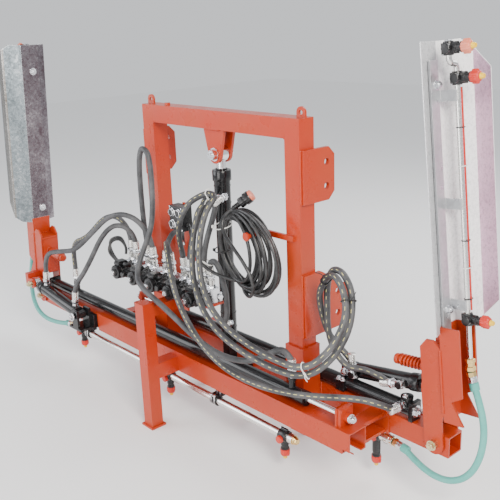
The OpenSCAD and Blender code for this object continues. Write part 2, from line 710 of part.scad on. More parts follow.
// Arm frame: origin at the pivot, +X outwards, Z up the arm, y from the boom's centre.
module arm(side) {
    translate([side > 0 ? right_pivot_x : -left_pivot_x, side > 0 ? rear_y : front_y, boom_z])
        rotate([0, -side * arm_lean, 0]) rotate([0, 0, side > 0 ? 0 : 180]) children();
}

module cheek(y, reach) {
    translate([0, y + 5, 0]) rotate([90, 0, 0]) linear_extrude(5) difference() {
        union() {
            circle(25);
            translate([-25, 0]) square([50, 60]);
            polygon([[-25, 60], [25, 60], [mast_x, 80], [mast_x, 236], [14, 256],
                     [-4, 256], [-22, 236], [-22, 150], [-25, 140]]);
        }
        circle(d = pin_d + e);
    }
    translate([0, y + 5, 0]) rotate([90, 0, 0]) linear_extrude(5) children();
}

// Folded mast: a channel open outwards, its two cheeks and their cross web.
module mast() {
    difference() {
        block([mast_x, mast_x + mast_depth], [-mast_w / 2 - 4, mast_w / 2 + 4], [64, 290]);
        block([mast_x + 5, mast_x + mast_depth + 1], [-mast_w / 2 + 1, mast_w / 2 - 1],
              [63, 291]);
        translate([mast_x + mast_depth, -50, 64]) rotate([0, -28, 0]) cube([60, 100, 60]);
    }
    cheek(-mast_w / 2 - 4, 0);
    cheek(mast_w / 2 - 1, 0);
    block([-22, mast_x], [-mast_w / 2 + 1, mast_w / 2 - 1], [222, 230]);
}

// Lug plates, given in world terms relative to the pivot so they meet the rod's eye.
module lug_plates(side, lug, dy, gap) {
    s = side;
    cx = (side > 0 ? right_pivot_x : -left_pivot_x) + s * lug[0];
    for (y = [dy - gap / 2 - 6, dy + gap / 2]) {
        difference() {
            rod_y(cx, [y, y + 6], boom_z + lug[1], 36);
            rod_y(cx, [y - 1, y + 7], boom_z + lug[1], pin_d + e);
        }
    }
}

module right_mast() color(orange) placed() {
    difference() {
        arm(1) mast();
        rod_y(right_pivot_x + right_lug[0], [150, 200], boom_z + right_lug[1], 44);
    }
    difference() {
        union() {
            lug_plates(1, right_lug, 184, 22);
            block([right_pivot_x - 30, right_pivot_x - 6], [167, 173], [300, 330]);
            block([right_pivot_x - 22, right_pivot_x + 14], [195, 205], [292, 322]);
            block([right_pivot_x - 26, right_pivot_x + 8], [146, 173], [322, 330]);
        }
        rod_y(right_pivot_x + right_lug[0], [140, 220], boom_z + right_lug[1], pin_d + e);
    }
}

module left_mast() color(orange) placed() {
    arm(-1) mast();
    cx = -left_pivot_x - left_lug[0];
    z = boom_z + left_lug[1];
    difference() {
        union() {
            lug_plates(-1, left_lug, left_tilt_y, 22);
            block([cx - 48, cx - 26], [left_tilt_y - 17, front_y - 30], [z - 14, z + 30]);
            block([cx - 28, cx], [left_tilt_y - 17, left_tilt_y - 11], [z - 10, z + 14]);
            block([cx - 28, cx], [left_tilt_y + 11, left_tilt_y + 17], [z - 10, z + 14]);
        }
        rod_y(cx, [left_tilt_y - 30, left_tilt_y + 30], z, pin_d + e);
    }
}

module pins(side, lug, dy, lug_span) {
    cx = side > 0 ? right_pivot_x : -left_pivot_x;
    cy = side > 0 ? rear_y : front_y;
    rod_y(cx, [cy - 40, cy + 40], boom_z, pin_d);
    for (y = [cy - 41, cy + 33]) rod_y(cx, [y, y + 8], boom_z, 24);
    lx = cx + side * lug[0];
    rod_y(lx, [dy - lug_span, dy + lug_span], boom_z + lug[1], pin_d);
    rod_y(lx, [dy - lug_span - 5, dy - lug_span + 1], boom_z + lug[1], 22);
}

module right_pins() color(steel) placed() pins(1, right_lug, 184, 18);

module left_pins() color(steel) placed() pins(-1, left_lug, left_tilt_y, 22);

// Buffer that stops the arm: a peg pointing inwards with a coil spring on it.
module buffer(side) {
    z = 176;
    rod_x([-112, -24], 0, z, 20);
    rod_x([-118, -106], 0, z, 26);
    rod_x([-24, mast_x], 0, z, 26);
    if (side > 0)
        for (i = [0 : 7]) translate([-98 + 9.4 * i, 0, z]) rotate([0, 90, 0])
            rotate_extrude() translate([11.5, 0]) circle(d = 6, $fn = 16);
}

module right_buffer() color(orange) placed() arm(1) buffer(1);

module left_buffer() color(orange) placed() arm(-1) buffer(-1);

// Folded sheet seen from above: strip, back, wing and outer flange.
module shield_profile(t) {
    polygon([
        [41, -57], [42.5, -56.5], [33.7, -29], [33.7, 29], [75, 78], [119, 72],
        [119, 74], [74, 80.2], [mast_x - 0.2, 30], [mast_x - 0.2, -29.6]
    ]);
}

module shield() {
    difference() {
        translate([0, 0, shield_bottom]) linear_extrude(shield_len) shield_profile(shield_t);
        for (m = [0, 1]) translate([0, 0, shield_bottom + shield_len / 2]) mirror([0, 0, m])
            translate([119 + 1, 0, shield_len / 2 + 1]) rotate([0, 45, 0])
                cube([shield_cut * 1.5, 200, shield_cut * 1.5], center = true);
        block([mast_x - 3, mast_x + 5], [-34, 34], [shield_bottom - 1, 290]);
        for (z = [326, 810]) rotate([0, 90, 0])
            translate([-z, -8, mast_x - 5]) cylinder(d = 9, h = 12);
    }
}

module right_shield() color(zinc) placed() arm(1) shield();

module left_shield() color(zinc) placed() arm(-1) shield();

// Flat bar that carries the shield, with its two bolts.
module strap() {
    block([mast_x + 5, mast_x + 10], [-28, 0], [230, 860]);
    block([mast_x + 1.8, mast_x + 5], [-22, -4], [300, 860]);
    for (z = [326, 810]) rod_x([mast_x - 8, mast_x + 16], -8, z, 8);
    for (z = [326, 810]) rod_x([mast_x - 7, mast_x - 0.5], -8, z, 16);
    for (z = clip_z) {
        block([mast_x + 9, riser_x + 2], [3, 6], [z - 12, z + 12]);
        block([mast_x + 5, mast_x + 10], [-2, 6], [z - 12, z + 12]);
    }
}

module right_strap() color(zinc) placed() arm(1) strap();

module left_strap() color(zinc) placed() arm(-1) strap();

// Vertical feed pipe on the outside of the arm, with a side step near its top.
module riser() {
    translate([riser_x, 12, 0]) {
        difference() {
            rod_z(0, 0, [200, 850], 12);
            rod_z(0, 0, [205, 845], 8);
        }
        rod_z(0, 0, [184, 212], 24);
    }
    rod_y(riser_x, [-14, 12], 850, 12);
    rod_z(riser_x, -14, [850, 896], 12);
}

module right_riser() color(steel) placed() arm(1) riser();

module left_riser() color(steel) placed() arm(-1) riser();

module arm_nozzles() {
    for (p = arm_nozzles_at) translate([riser_x, p[0], p[1]]) {
        difference() {
            rod_z(0, 0, [-16, 16], 28);
            rod_z(0, 0, [-17, 17], 12);
        }
        rod_x([10, 34], 0, 0, 20);
    }
}

module arm_caps() {
    for (p = arm_nozzles_at) translate([riser_x, p[0], p[1]]) {
        rod_x([34, 54], 0, 0, cap_d);
        rod_x([54, 62], 0, 0, 14);
    }
}

module right_nozzles() color(black) placed() arm(1) arm_nozzles();

module left_nozzles() color(black) placed() arm(-1) arm_nozzles();

module right_caps() color(red) placed() arm(1) arm_caps();

module left_caps() color(red) placed() arm(-1) arm_caps();

// ---------- hoses ----------

module lift_hoses() color(black) placed() {
    hose(lift_hose_a, hyd_hose_d);
    hose(lift_hose_b, hyd_hose_d);
}

module left_hoses() color(black) placed() {
    hose(feed_left_a, hyd_hose_d);
    hose(feed_left_b, hyd_hose_d, 2);
    hose(tilt_left_a, hyd_hose_d);
    hose(tilt_left_b, hyd_hose_d);
}

module right_hoses() color(black) placed() {
    hose(tilt_right_a, hyd_hose_d, 2);
    hose(tilt_right_b, hyd_hose_d, 2);
    hose(feed_right_a, hyd_hose_d, 2);
    hose(feed_right_b, hyd_hose_d);
}

module left_spray_hose() color(green) placed() hose(green_left, spray_hose_d);

module right_spray_hose() color(green) placed() hose(green_right, spray_hose_d);

// ---------- drawing ----------

front_rail();
rear_rail();
bridges();
left_guide();
right_guide();
rear_legs();
leg();
valve_shelf();
valve_blocks();
solenoids();
lift_barrel();
feed_rods();
rod_posts();
left_post();
right_post();
top_beam();
beam_clevis();
lift_rod();
left_hitch_plates();
right_hitch_plates();
cable_coil();
cable_plug();
cable_block();
left_tube();
left_barrel();
left_brackets();
front_pipe();
front_nozzles();
front_caps();
right_tube();
right_barrel();
right_brackets();
rear_pipe();
rear_nozzles();
rear_caps();
left_tilt_barrel();
left_tilt_rod();
right_tilt_barrel();
right_tilt_rod();
left_mast();
left_pins();
left_buffer();
left_shield();
left_strap();
left_riser();
left_nozzles();
left_caps();
right_mast();
right_pins();
right_buffer();
right_shield();
right_strap();
right_riser();
right_nozzles();
right_caps();
lift_hoses();
left_hoses();
right_hoses();
left_spray_hose();
right_spray_hose();
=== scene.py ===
"""Looks of a shielded hydraulic spray boom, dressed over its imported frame."""

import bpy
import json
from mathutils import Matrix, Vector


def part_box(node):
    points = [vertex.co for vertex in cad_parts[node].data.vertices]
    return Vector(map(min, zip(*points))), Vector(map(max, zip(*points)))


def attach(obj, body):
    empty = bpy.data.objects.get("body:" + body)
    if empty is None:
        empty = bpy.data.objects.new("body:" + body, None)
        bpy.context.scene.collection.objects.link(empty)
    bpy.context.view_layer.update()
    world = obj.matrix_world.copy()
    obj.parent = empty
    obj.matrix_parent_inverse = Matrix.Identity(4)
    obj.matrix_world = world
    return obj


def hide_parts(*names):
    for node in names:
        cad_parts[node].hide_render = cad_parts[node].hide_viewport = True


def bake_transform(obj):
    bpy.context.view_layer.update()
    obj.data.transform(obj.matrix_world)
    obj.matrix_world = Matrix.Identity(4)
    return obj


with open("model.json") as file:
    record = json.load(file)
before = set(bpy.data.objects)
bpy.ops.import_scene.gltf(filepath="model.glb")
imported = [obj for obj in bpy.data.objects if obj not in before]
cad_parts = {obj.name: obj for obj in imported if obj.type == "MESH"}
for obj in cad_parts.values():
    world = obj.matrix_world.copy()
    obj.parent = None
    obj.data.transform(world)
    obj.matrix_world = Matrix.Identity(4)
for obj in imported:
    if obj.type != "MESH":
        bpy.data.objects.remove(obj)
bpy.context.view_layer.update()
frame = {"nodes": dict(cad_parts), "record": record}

import json
import logging
import math
from dataclasses import dataclass, field
from enum import Enum
from typing import Iterable, Sequence

import bmesh
import bpy
from mathutils import Matrix, Vector

log = logging.getLogger("spray_boom")

Point = Sequence[float]
Material, Node, Object = bpy.types.Material, bpy.types.Node, bpy.types.Object
Socket = bpy.types.NodeSocket
RAIL_LOW, RAIL_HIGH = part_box("front_rail")
DATUM = Vector(((RAIL_LOW.x + RAIL_HIGH.x) / 2, RAIL_LOW.y, 0.0))

# Millimetres from the front rail's middle; 1 is the right side and -1 the left one.
ARM_LEAN = 6  # degrees off upright, at rest
PIVOTS = {1: (682, 176, 180), -1: (-938, 30, 180)}
TILT_BASES = {1: (398, 184, 262), -1: (-598, -36, 205)}
TILT_LUGS = {1: (655, 184, 303), -1: (-904, -36, 246)}
FRONT_PIPE = (14, 108)  # distance behind the rail's face, height
REAR_PIPE = (158, 128)
FEED_HEIGHT = 231
HOSE_STEPS = 6  # stretches between two route points
TIE_REACH = 0.034  # metres between the hoses that a tie still bundles
UP, NEAR, OUT = Vector((0, 0, 1)), Vector((0, -1, 0)), Vector((1, 0, 0))


def at(x: float, y: float, z: float) -> Vector:
    """Place in the row frame of a point given in millimetres from the front rail's middle.

    Args:
        x: Distance along the booms, from the portal's centre.
        y: Distance behind the front rail's face.
        z: Height above the ground.

    Returns:
        The point in metres.
    """
    return DATUM + Vector((x, y, z)) / 1000.0


def arm_point(side: int, x: float, y: float, z: float) -> Vector:
    """Place in the row frame of a point given in an arm's own directions.

    Args:
        side: 1 for the right arm, -1 for the left one.
        x: Millimetres outwards from the pivot.
        y: Millimetres across the arm.
        z: Millimetres up the arm.

    Returns:
        The point in metres.
    """
    pivot = Vector(PIVOTS[side])
    lean = Matrix.Rotation(math.radians(-ARM_LEAN * side), 3, "Y")
    local = Vector((side * x, side * y, z))
    place = pivot + lean @ local
    return at(*place)


def arm_direction(side: int, x: float, y: float, z: float) -> Vector:
    """Unit direction in the row frame of a direction given in an arm's own axes."""
    way = arm_point(side, x, y, z) - arm_point(side, 0, 0, 0)
    return way.normalized()


class Body(str, Enum):
    """The rigid bodies that pieces ride on."""

    CARRIAGE = "carriage"
    PORTAL = "portal"
    LEFT_BOOM = "left_boom"
    RIGHT_BOOM = "right_boom"
    LEFT_CYLINDER = "left_cylinder"
    RIGHT_CYLINDER = "right_cylinder"
    LEFT_ARM = "left_arm"
    RIGHT_ARM = "right_arm"


class Slot(str, Enum):
    """The record's material slots."""

    PAINT = "orange_paint"
    BLACK = "black_paint"
    ZINC = "galvanised"
    STEEL = "steel"
    CHROME = "chrome_rod"
    HOSE = "hose_rubber"
    SPRAY_HOSE = "spray_hose"
    PLASTIC = "black_plastic"
    RED = "red_plastic"
    CABLE = "cable"


# ---- finishes


class NodeTree:
    """A node tree that adds nodes and joins them."""

    tree: bpy.types.NodeTree

    def new(self, kind: str) -> Node:
        """Adds a node of a kind."""
        return self.tree.nodes.new(kind)

    def link(self, a: Socket, b: Socket) -> None:
        """Joins an output to an input."""
        self.tree.links.new(a, b)


class NodeSheet(NodeTree):
    """A material's node tree with short calls for the nodes the finishes share."""

    def __init__(self, name: str) -> None:
        """Makes an empty material with a Principled shader on its output.

        Args:
            name: The material's name.
        """
        self.material = bpy.data.materials.new(name)
        self.material.use_nodes = True
        self.tree = self.material.node_tree
        self.tree.nodes.clear()
        self.output = self.new("ShaderNodeOutputMaterial")
        self.shader = self.new("ShaderNodeBsdfPrincipled")
        self.link(self.shader.outputs[0], self.output.inputs[0])
        self.coordinates = self.new("ShaderNodeTexCoord").outputs["Object"]

    def stretched(self, scale: Point) -> Socket:
        """Object coordinates scaled along each axis.

        Args:
            scale: Factor along each axis.

        Returns:
            The scaled coordinates.
        """
        node = self.new("ShaderNodeMapping")
        node.inputs["Scale"].default_value = scale
        self.link(self.coordinates, node.inputs["Vector"])
        return node.outputs[0]

    def noise(
        self, scale: float, detail: float = 4.0, rough: float = 0.55,
        vector: Socket | None = None,
    ) -> Socket:
        """A noise pattern on object coordinates.

        Args:
            scale: Pattern repeats per metre.
            detail: Octaves.
            rough: Strength of the finer octaves.
            vector: Coordinates to use in place of the plain ones.

        Returns:
            The pattern's factor socket.
        """
        node = self.new("ShaderNodeTexNoise")
        node.inputs["Scale"].default_value = scale
        node.inputs["Detail"].default_value = detail
        node.inputs["Roughness"].default_value = rough
        self.link(vector or self.coordinates, node.inputs["Vector"])
        return node.outputs["Fac"]

    def cells(self, scale: float, feature: str = "F1") -> Node:
        """A Voronoi pattern on object coordinates.

        Args:
            scale: Cells per metre.
            feature: The pattern's Voronoi feature.

        Returns:
            The pattern's node.
        """
        node = self.new("ShaderNodeTexVoronoi")
        node.feature = feature
        node.inputs["Scale"].default_value = scale
        self.link(self.coordinates, node.inputs["Vector"])
        return node

    def ramp(self, factor: Socket, stops: Sequence[tuple[float, Point]]) -> Socket:
        """A colour ramp.

        Args:
            factor: The value that is looked up.
            stops: Pairs of place and colour, in order.

        Returns:
            The ramp's colour socket.
        """
        node = self.new("ShaderNodeValToRGB")
        points = node.color_ramp.elements
        while len(points) < len(stops):
            points.new(0.5)
        for point, (place, colour) in zip(points, stops):
            point.position = place
            point.color = (*colour[:3], 1.0)
        self.link(factor, node.inputs[0])
        return node.outputs[0]

    def grey(self, factor: Socket, low: float, high: float, a: float, b: float) -> Socket:
        """Maps a factor from low..high to a..b.

        Args:
            factor: The value that is mapped.
            low: Lowest value in.
            high: Highest value in.
            a: Value out at low.
            b: Value out at high.

        Returns:
            The mapped value.
        """
        node = self.new("ShaderNodeMapRange")
        for name, value in zip(("From Min", "From Max", "To Min", "To Max"), (low, high, a, b)):
            node.inputs[name].default_value = value
        self.link(factor, node.inputs["Value"])
        return node.outputs[0]

    def mix(
        self, factor: Socket, a: Socket | Point, b: Socket | Point, blend: str = "MIX",
    ) -> Socket:
        """Mixes two colours, each a socket or a plain colour.

        Args:
            factor: The mix's factor.
            a: Colour at 0.
            b: Colour at 1.
            blend: The mix's blend type.

        Returns:
            The mixed colour.
        """
        node = self.new("ShaderNodeMix")
        node.data_type = "RGBA"
        node.blend_type = blend
        self.link(factor, node.inputs[0])
        for socket, value in ((node.inputs[6], a), (node.inputs[7], b)):
            if isinstance(value, Socket):
                self.link(value, socket)
            else:
                socket.default_value = (*value[:3], 1.0)
        return node.outputs[2]

    def bump(
        self, height: Socket, strength: float, distance: float, soft_edge: float = 0.0,
    ) -> None:
        """Adds a bump to the shader's normal.

        Args:
            height: The bump's height pattern.
            strength: The bump's strength.
            distance: Height in metres of a full step.
            soft_edge: Radius in metres by which sharp edges catch the light.
        """
        node = self.new("ShaderNodeBump")
        node.inputs["Strength"].default_value = strength
        node.inputs["Distance"].default_value = distance
        self.link(height, node.inputs["Height"])
        if soft_edge:
            bevel = self.new("ShaderNodeBevel")
            bevel.samples = 4
            bevel.inputs["Radius"].default_value = soft_edge
            self.link(bevel.outputs[0], node.inputs["Normal"])
        self.link(node.outputs[0], self.shader.inputs["Normal"])

    def coat(self, base: Socket, rough: Socket) -> None:
        """Gives the shader its colour and its roughness."""
        self.link(base, self.shader.inputs["Base Color"])
        self.link(rough, self.shader.inputs["Roughness"])

    def edges(self, radius: float) -> Socket:
        """A mask that is 1 on sharp edges and 0 on flat stretches.

        Args:
            radius: Width in metres of the mask beside an edge.

        Returns:
            The mask.
        """
        bevel = self.new("ShaderNodeBevel")
        bevel.samples = 4
        bevel.inputs["Radius"].default_value = radius
        flat = self.new("ShaderNodeNewGeometry")
        dot = self.new("ShaderNodeVectorMath")
        dot.operation = "DOT_PRODUCT"
        self.link(bevel.outputs[0], dot.inputs[0])
        self.link(flat.outputs["Normal"], dot.inputs[1])
        return self.grey(dot.outputs["Value"], 0.80, 0.995, 1.0, 0.0)


@dataclass(frozen=True)
class Enamel:
    """Gloss paint with faded patches, darker specks and chipped edges."""

    name: str
    colour: tuple[float, float, float]
    faded: tuple[float, float, float]
    primer: tuple[float, float, float]
    gloss: float = 0.3
    chips: float = 0.6

    def build(self) -> Material:
        """Makes the material.

        Returns:
            The material.
        """
        sheet = NodeSheet(self.name)
        shader = sheet.shader
        shader.inputs["Coat Weight"].default_value = 0.18
        shader.inputs["Specular IOR Level"].default_value = 0.32
        shader.inputs["Coat Roughness"].default_value = 0.12
        patches = sheet.grey(sheet.noise(5.0, 5.0), 0.35, 0.68, 0.0, 1.0)
        base = sheet.mix(patches, self.colour, self.faded)
        specks = sheet.grey(sheet.noise(260.0, 3.0), 0.35, 0.75, 0.0, 0.22)
        base = sheet.mix(specks, base, tuple(c * 0.7 for c in self.colour))
        worn = sheet.edges(0.0016)
        broken = sheet.grey(sheet.noise(70.0, 6.0, 0.7), 0.52, 0.6, 0.0, self.chips)
        both = sheet.new("ShaderNodeMath")
        both.operation = "MULTIPLY"
        sheet.link(worn, both.inputs[0])
        sheet.link(broken, both.inputs[1])
        base = sheet.mix(both.outputs[0], base, self.primer)
        rough = sheet.noise(18.0, 6.0)
        sheet.coat(base, sheet.grey(rough, 0.3, 0.7, self.gloss - 0.08, self.gloss + 0.14))
        sheet.bump(sheet.noise(420.0, 2.0), 0.12, 0.0006, 0.0012)
        return sheet.material


@dataclass(frozen=True)
class Galvanised:
    """Zinc-coated sheet: clouded crystals, painted light tones by facing, painted highlights along
    the folds.
    """

    name: str
    bright: tuple[float, float, float] = (0.62, 0.63, 0.65)
    dull: tuple[float, float, float] = (0.38, 0.39, 0.41)
    # The wing, back and far colours are painted light: each face takes one of these tones by its
    # facing and its side of the middle plane, standing for lit, shaded and reflecting faces.
    wing_painted_light: tuple[float, float, float] = (0.42, 0.43, 0.45)
    back: tuple[float, float, float] = (0.60, 0.60, 0.61)
    far: tuple[float, float, float] = (0.42, 0.43, 0.45)
    middle: float = 0.0
    spangle: float = 95.0
    clouds: float = 14.0
    roughness: float = 0.34
    back_metal: float = 0.9
    turned: float = -0.45

    def build(self) -> Material:
        """Makes the material.

        Returns:
            The material.
        """
        sheet = NodeSheet(self.name)
        shader = sheet.shader
        cells = sheet.cells(self.spangle)
        split = sheet.new("ShaderNodeSeparateColor")
        sheet.link(cells.outputs["Color"], split.inputs[0])
        cloud = sheet.noise(self.clouds, 6.0, 0.6, sheet.stretched((1.0, 1.0, 0.55)))
        blend = sheet.new("ShaderNodeMath")
        blend.operation = "MULTIPLY_ADD"
        sheet.link(split.outputs[0], blend.inputs[0])
        blend.inputs[1].default_value = 0.32
        sheet.link(sheet.grey(cloud, 0.28, 0.72, 0.0, 0.68), blend.inputs[2])
        crystal = sheet.ramp(
            blend.outputs[0], [(0.1, self.dull), (0.6, self.bright), (1.0, (0.74, 0.75, 0.77))]
        )
        facing = sheet.new("ShaderNodeSeparateXYZ")
        normal = sheet.new("ShaderNodeTexCoord").outputs["Normal"]
        sheet.link(normal, facing.inputs[0])
        # Painted light: on the near side of the middle plane every face takes the wing tone; beyond
        # it, faces turned toward -Y past turned take the far tone and the rest the back tone, with
        # back_metal as their metalness. These painted tones are mixed over the crystals below.
        side = sheet.grey(facing.outputs["Y"], self.turned - 0.06, self.turned + 0.06, 1.0, 0.0)
        place = sheet.new("ShaderNodeSeparateXYZ")
        sheet.link(sheet.coordinates, place.inputs[0])
        metal = sheet.grey(side, 0.0, 1.0, self.back_metal, 0.9)
        sheet.link(metal, shader.inputs["Metallic"])
        beyond = sheet.grey(place.outputs["Y"], self.middle - 0.0005, self.middle + 0.0005,
                            0.0, 1.0)
        near = sheet.mix(beyond, self.wing_painted_light, self.back)
        painted_light_tint = sheet.mix(side, near, sheet.mix(beyond, self.wing_painted_light, self.far))
        base = sheet.mix(sheet.grey(cloud, 0.0, 1.0, 0.42, 0.68), crystal, painted_light_tint)
        # Painted highlight: a pale line along every fold and sharp edge.
        fold_highlight = sheet.edges(0.0024)
        base = sheet.mix(sheet.grey(fold_highlight, 0.0, 1.0, 0.0, 0.85), base, (0.86, 0.86, 0.87))
        stains = sheet.grey(sheet.noise(22.0, 8.0, 0.7), 0.6, 0.8, 0.0, 0.35)
        base = sheet.mix(stains, base, (0.22, 0.20, 0.19))
        sheet.coat(base, sheet.grey(split.outputs[1], 0.0, 1.0, self.roughness - 0.07,
                                    self.roughness + 0.12))
        sheet.bump(cells.outputs["Distance"], 0.1, 0.0003, 0.0008)
        return sheet.material


@dataclass(frozen=True)
class BareMetal:
    """Drawn, turned or plated metal with fine scratches."""

    name: str
    colour: tuple[float, float, float]
    roughness: float = 0.25
    grain: tuple[float, float, float] = (1.0, 1.0, 1.0)
    stain: tuple[float, float, float] = (0.25, 0.22, 0.20)
    stained: float = 0.3

    def build(self) -> Material:
        """Makes the material.

        Returns:
            The material.
        """
        sheet = NodeSheet(self.name)
        sheet.shader.inputs["Metallic"].default_value = 1.0
        spots = sheet.grey(sheet.noise(38.0, 7.0, 0.7), 0.56, 0.78, 0.0, self.stained)
        lines = sheet.noise(240.0, 5.0, 0.6, sheet.stretched(self.grain))
        sheet.coat(
            sheet.mix(spots, self.colour, self.stain),
            sheet.grey(lines, 0.3, 0.7, self.roughness - 0.08, self.roughness + 0.12),
        )
        sheet.bump(lines, 0.10, 0.0002, 0.0006)
        return sheet.material


@dataclass(frozen=True)
class Moulded:
    """Moulded plastic or rubber with a fine grain and rubbed patches."""

    name: str
    colour: tuple[float, float, float]
    rubbed: tuple[float, float, float]
    roughness: float = 0.5
    grain: float = 900.0
    depth: float = 0.0003

    def build(self) -> Material:
        """Makes the material.

        Returns:
            The material.
        """
        sheet = NodeSheet(self.name)
        rubbed = sheet.grey(sheet.noise(26.0, 6.0, 0.65), 0.45, 0.72, 0.0, 0.8)
        worn = sheet.noise(60.0, 4.0)
        sheet.coat(
            sheet.mix(rubbed, self.colour, self.rubbed),
            sheet.grey(worn, 0.3, 0.7, self.roughness - 0.1, self.roughness + 0.1),
        )
        sheet.bump(sheet.noise(self.grain, 3.0), 0.25, self.depth, 0.0006)
        return sheet.material


@dataclass(frozen=True)
class HoseCover:
    """Wrapped hose cover: fine cloth marks round the hose, dusty in patches."""

    name: str
    colour: tuple[float, float, float]
    dust: tuple[float, float, float]
    roughness: float = 0.45

    def build(self) -> Material:
        """Makes the material.

        Returns:
            The material.
        """
        sheet = NodeSheet(self.name)
        dusty = sheet.grey(sheet.noise(12.0, 8.0, 0.7), 0.42, 0.75, 0.0, 0.75)
        sheet.coat(
            sheet.mix(dusty, self.colour, self.dust),
            sheet.grey(dusty, 0.0, 0.75, self.roughness, self.roughness + 0.25),
        )
        sheet.bump(sheet.cells(650.0).outputs["Distance"], 0.3, 0.0004)
        return sheet.material


class Finishes:
    """Every finish of the machine, made once and looked up by name."""

    def __init__(self) -> None:
        """Builds the materials."""
        self.orange = Enamel(
            "orange_enamel", (0.42, 0.026, 0.003), (0.41, 0.042, 0.008), (0.10, 0.04, 0.03)
        ).build()
        self.black = Enamel(
            "black_enamel", (0.006, 0.006, 0.007), (0.013, 0.013, 0.014), (0.16, 0.15, 0.14),
            0.15, 0.5,
        ).build()
        # Every galvanised finish carries the painted facing tones of Galvanised. The left shield's
        # copy is darkened all over as painted shade; the right shield's copy is brightened, its
        # back faces painted near-white and its far wing pink, as painted reflections.
        self.zinc = Galvanised("galvanised_plate", spangle=120.0).build()
        self.zinc_left_painted_shade = Galvanised(
            "galvanised_left_shield", (0.26, 0.29, 0.31), (0.035, 0.042, 0.048),
            (0.20, 0.16, 0.12), (0.125, 0.062, 0.078), (0.13, 0.155, 0.165),
            at(0, -45, 0).y, 150.0, 15.0, 0.24, 0.9,
        ).build()
        self.zinc_right_painted_light = Galvanised(
            "galvanised_right_shield", (0.74, 0.75, 0.77), (0.30, 0.31, 0.32),
            (0.30, 0.31, 0.33), (0.98, 0.98, 0.98), (0.80, 0.34, 0.58),
            at(0, 183, 0).y, 360.0, 190.0, 0.36, 0.0, -0.82,
        ).build()
        self.zinc_small = BareMetal(
            "bright_zinc", (0.74, 0.75, 0.78), 0.22, stain=(0.40, 0.36, 0.33), stained=0.35
        ).build()
        self.steel = BareMetal(
            "stainless_pipe", (0.78, 0.77, 0.75), 0.24, (0.05, 1.0, 1.0), stained=0.2
        ).build()
        self.chrome = BareMetal(
            "hard_chrome", (0.80, 0.81, 0.82), 0.1, (0.1, 1.0, 1.0), stained=0.08
        ).build()
        self.ferrule = BareMetal(
            "crimped_ferrule", (0.80, 0.79, 0.76), 0.26, stain=(0.46, 0.42, 0.36), stained=0.4
        ).build()
        self.brass = BareMetal(
            "brass", (0.72, 0.52, 0.22), 0.24, stain=(0.30, 0.17, 0.06), stained=0.5
        ).build()
        self.passivated = BareMetal(
            "yellow_zinc", (0.70, 0.62, 0.40), 0.28, stain=(0.42, 0.30, 0.26), stained=0.5
        ).build()
        self.hose = HoseCover("hose_cover", (0.030, 0.031, 0.034), (0.15, 0.15, 0.155)).build()
        self.green = HoseCover(
            "green_hose_cover", (0.07, 0.36, 0.31), (0.16, 0.45, 0.40), 0.35
        ).build()
        self.cable = Moulded(
            "cable_sheath", (0.014, 0.014, 0.015), (0.06, 0.06, 0.06), 0.34
        ).build()
        self.plastic = Moulded(
            "black_nylon", (0.009, 0.009, 0.010), (0.024, 0.024, 0.026), 0.32
        ).build()
        self.cap = Moulded("red_nylon", (0.52, 0.018, 0.008), (0.56, 0.05, 0.025), 0.33).build()
        self.coral = Moulded("coral_nylon", (0.66, 0.17, 0.10), (0.72, 0.27, 0.19), 0.36).build()
        self.tip = Moulded("yellow_tip", (0.80, 0.50, 0.004), (0.76, 0.46, 0.02), 0.35).build()
        self.ink = Moulded("yellow_ink", (0.72, 0.63, 0.24), (0.50, 0.46, 0.26), 0.5).build()
        self.tie = Moulded("white_tie", (0.78, 0.78, 0.75), (0.62, 0.62, 0.58), 0.4).build()


# ---- shapes


def smooth_route(points: Sequence[Vector], steps: int) -> list[Vector]:
    """Points of a smooth curve through route points.

    Args:
        points: The route's own points.
        steps: Stretches between two route points.

    Returns:
        The curve's points.
    """
    last = len(points) - 1
    made = []
    for i in range(last):
        a, b = points[max(i - 1, 0)], points[i]
        c, d = points[i + 1], points[min(i + 2, last)]
        for j in range(steps):
            t = j / steps
            made.append(
                0.5 * (
                    2 * b + (c - a) * t + (2 * a - 5 * b + 4 * c - d) * t * t
                    + (3 * b - a - 3 * c + d) * t * t * t
                )
            )
    made.append(points[last].copy())
    return made


def path_length(points: Sequence[Vector]) -> float:
    """Length of a line through points, in metres."""
    return sum((b - a).length for a, b in zip(points, points[1:]))


def basis(axis: Vector) -> Matrix:
    """A turn that takes +Z to an axis."""
    return axis.normalized().to_track_quat("Z", "Y").to_matrix()


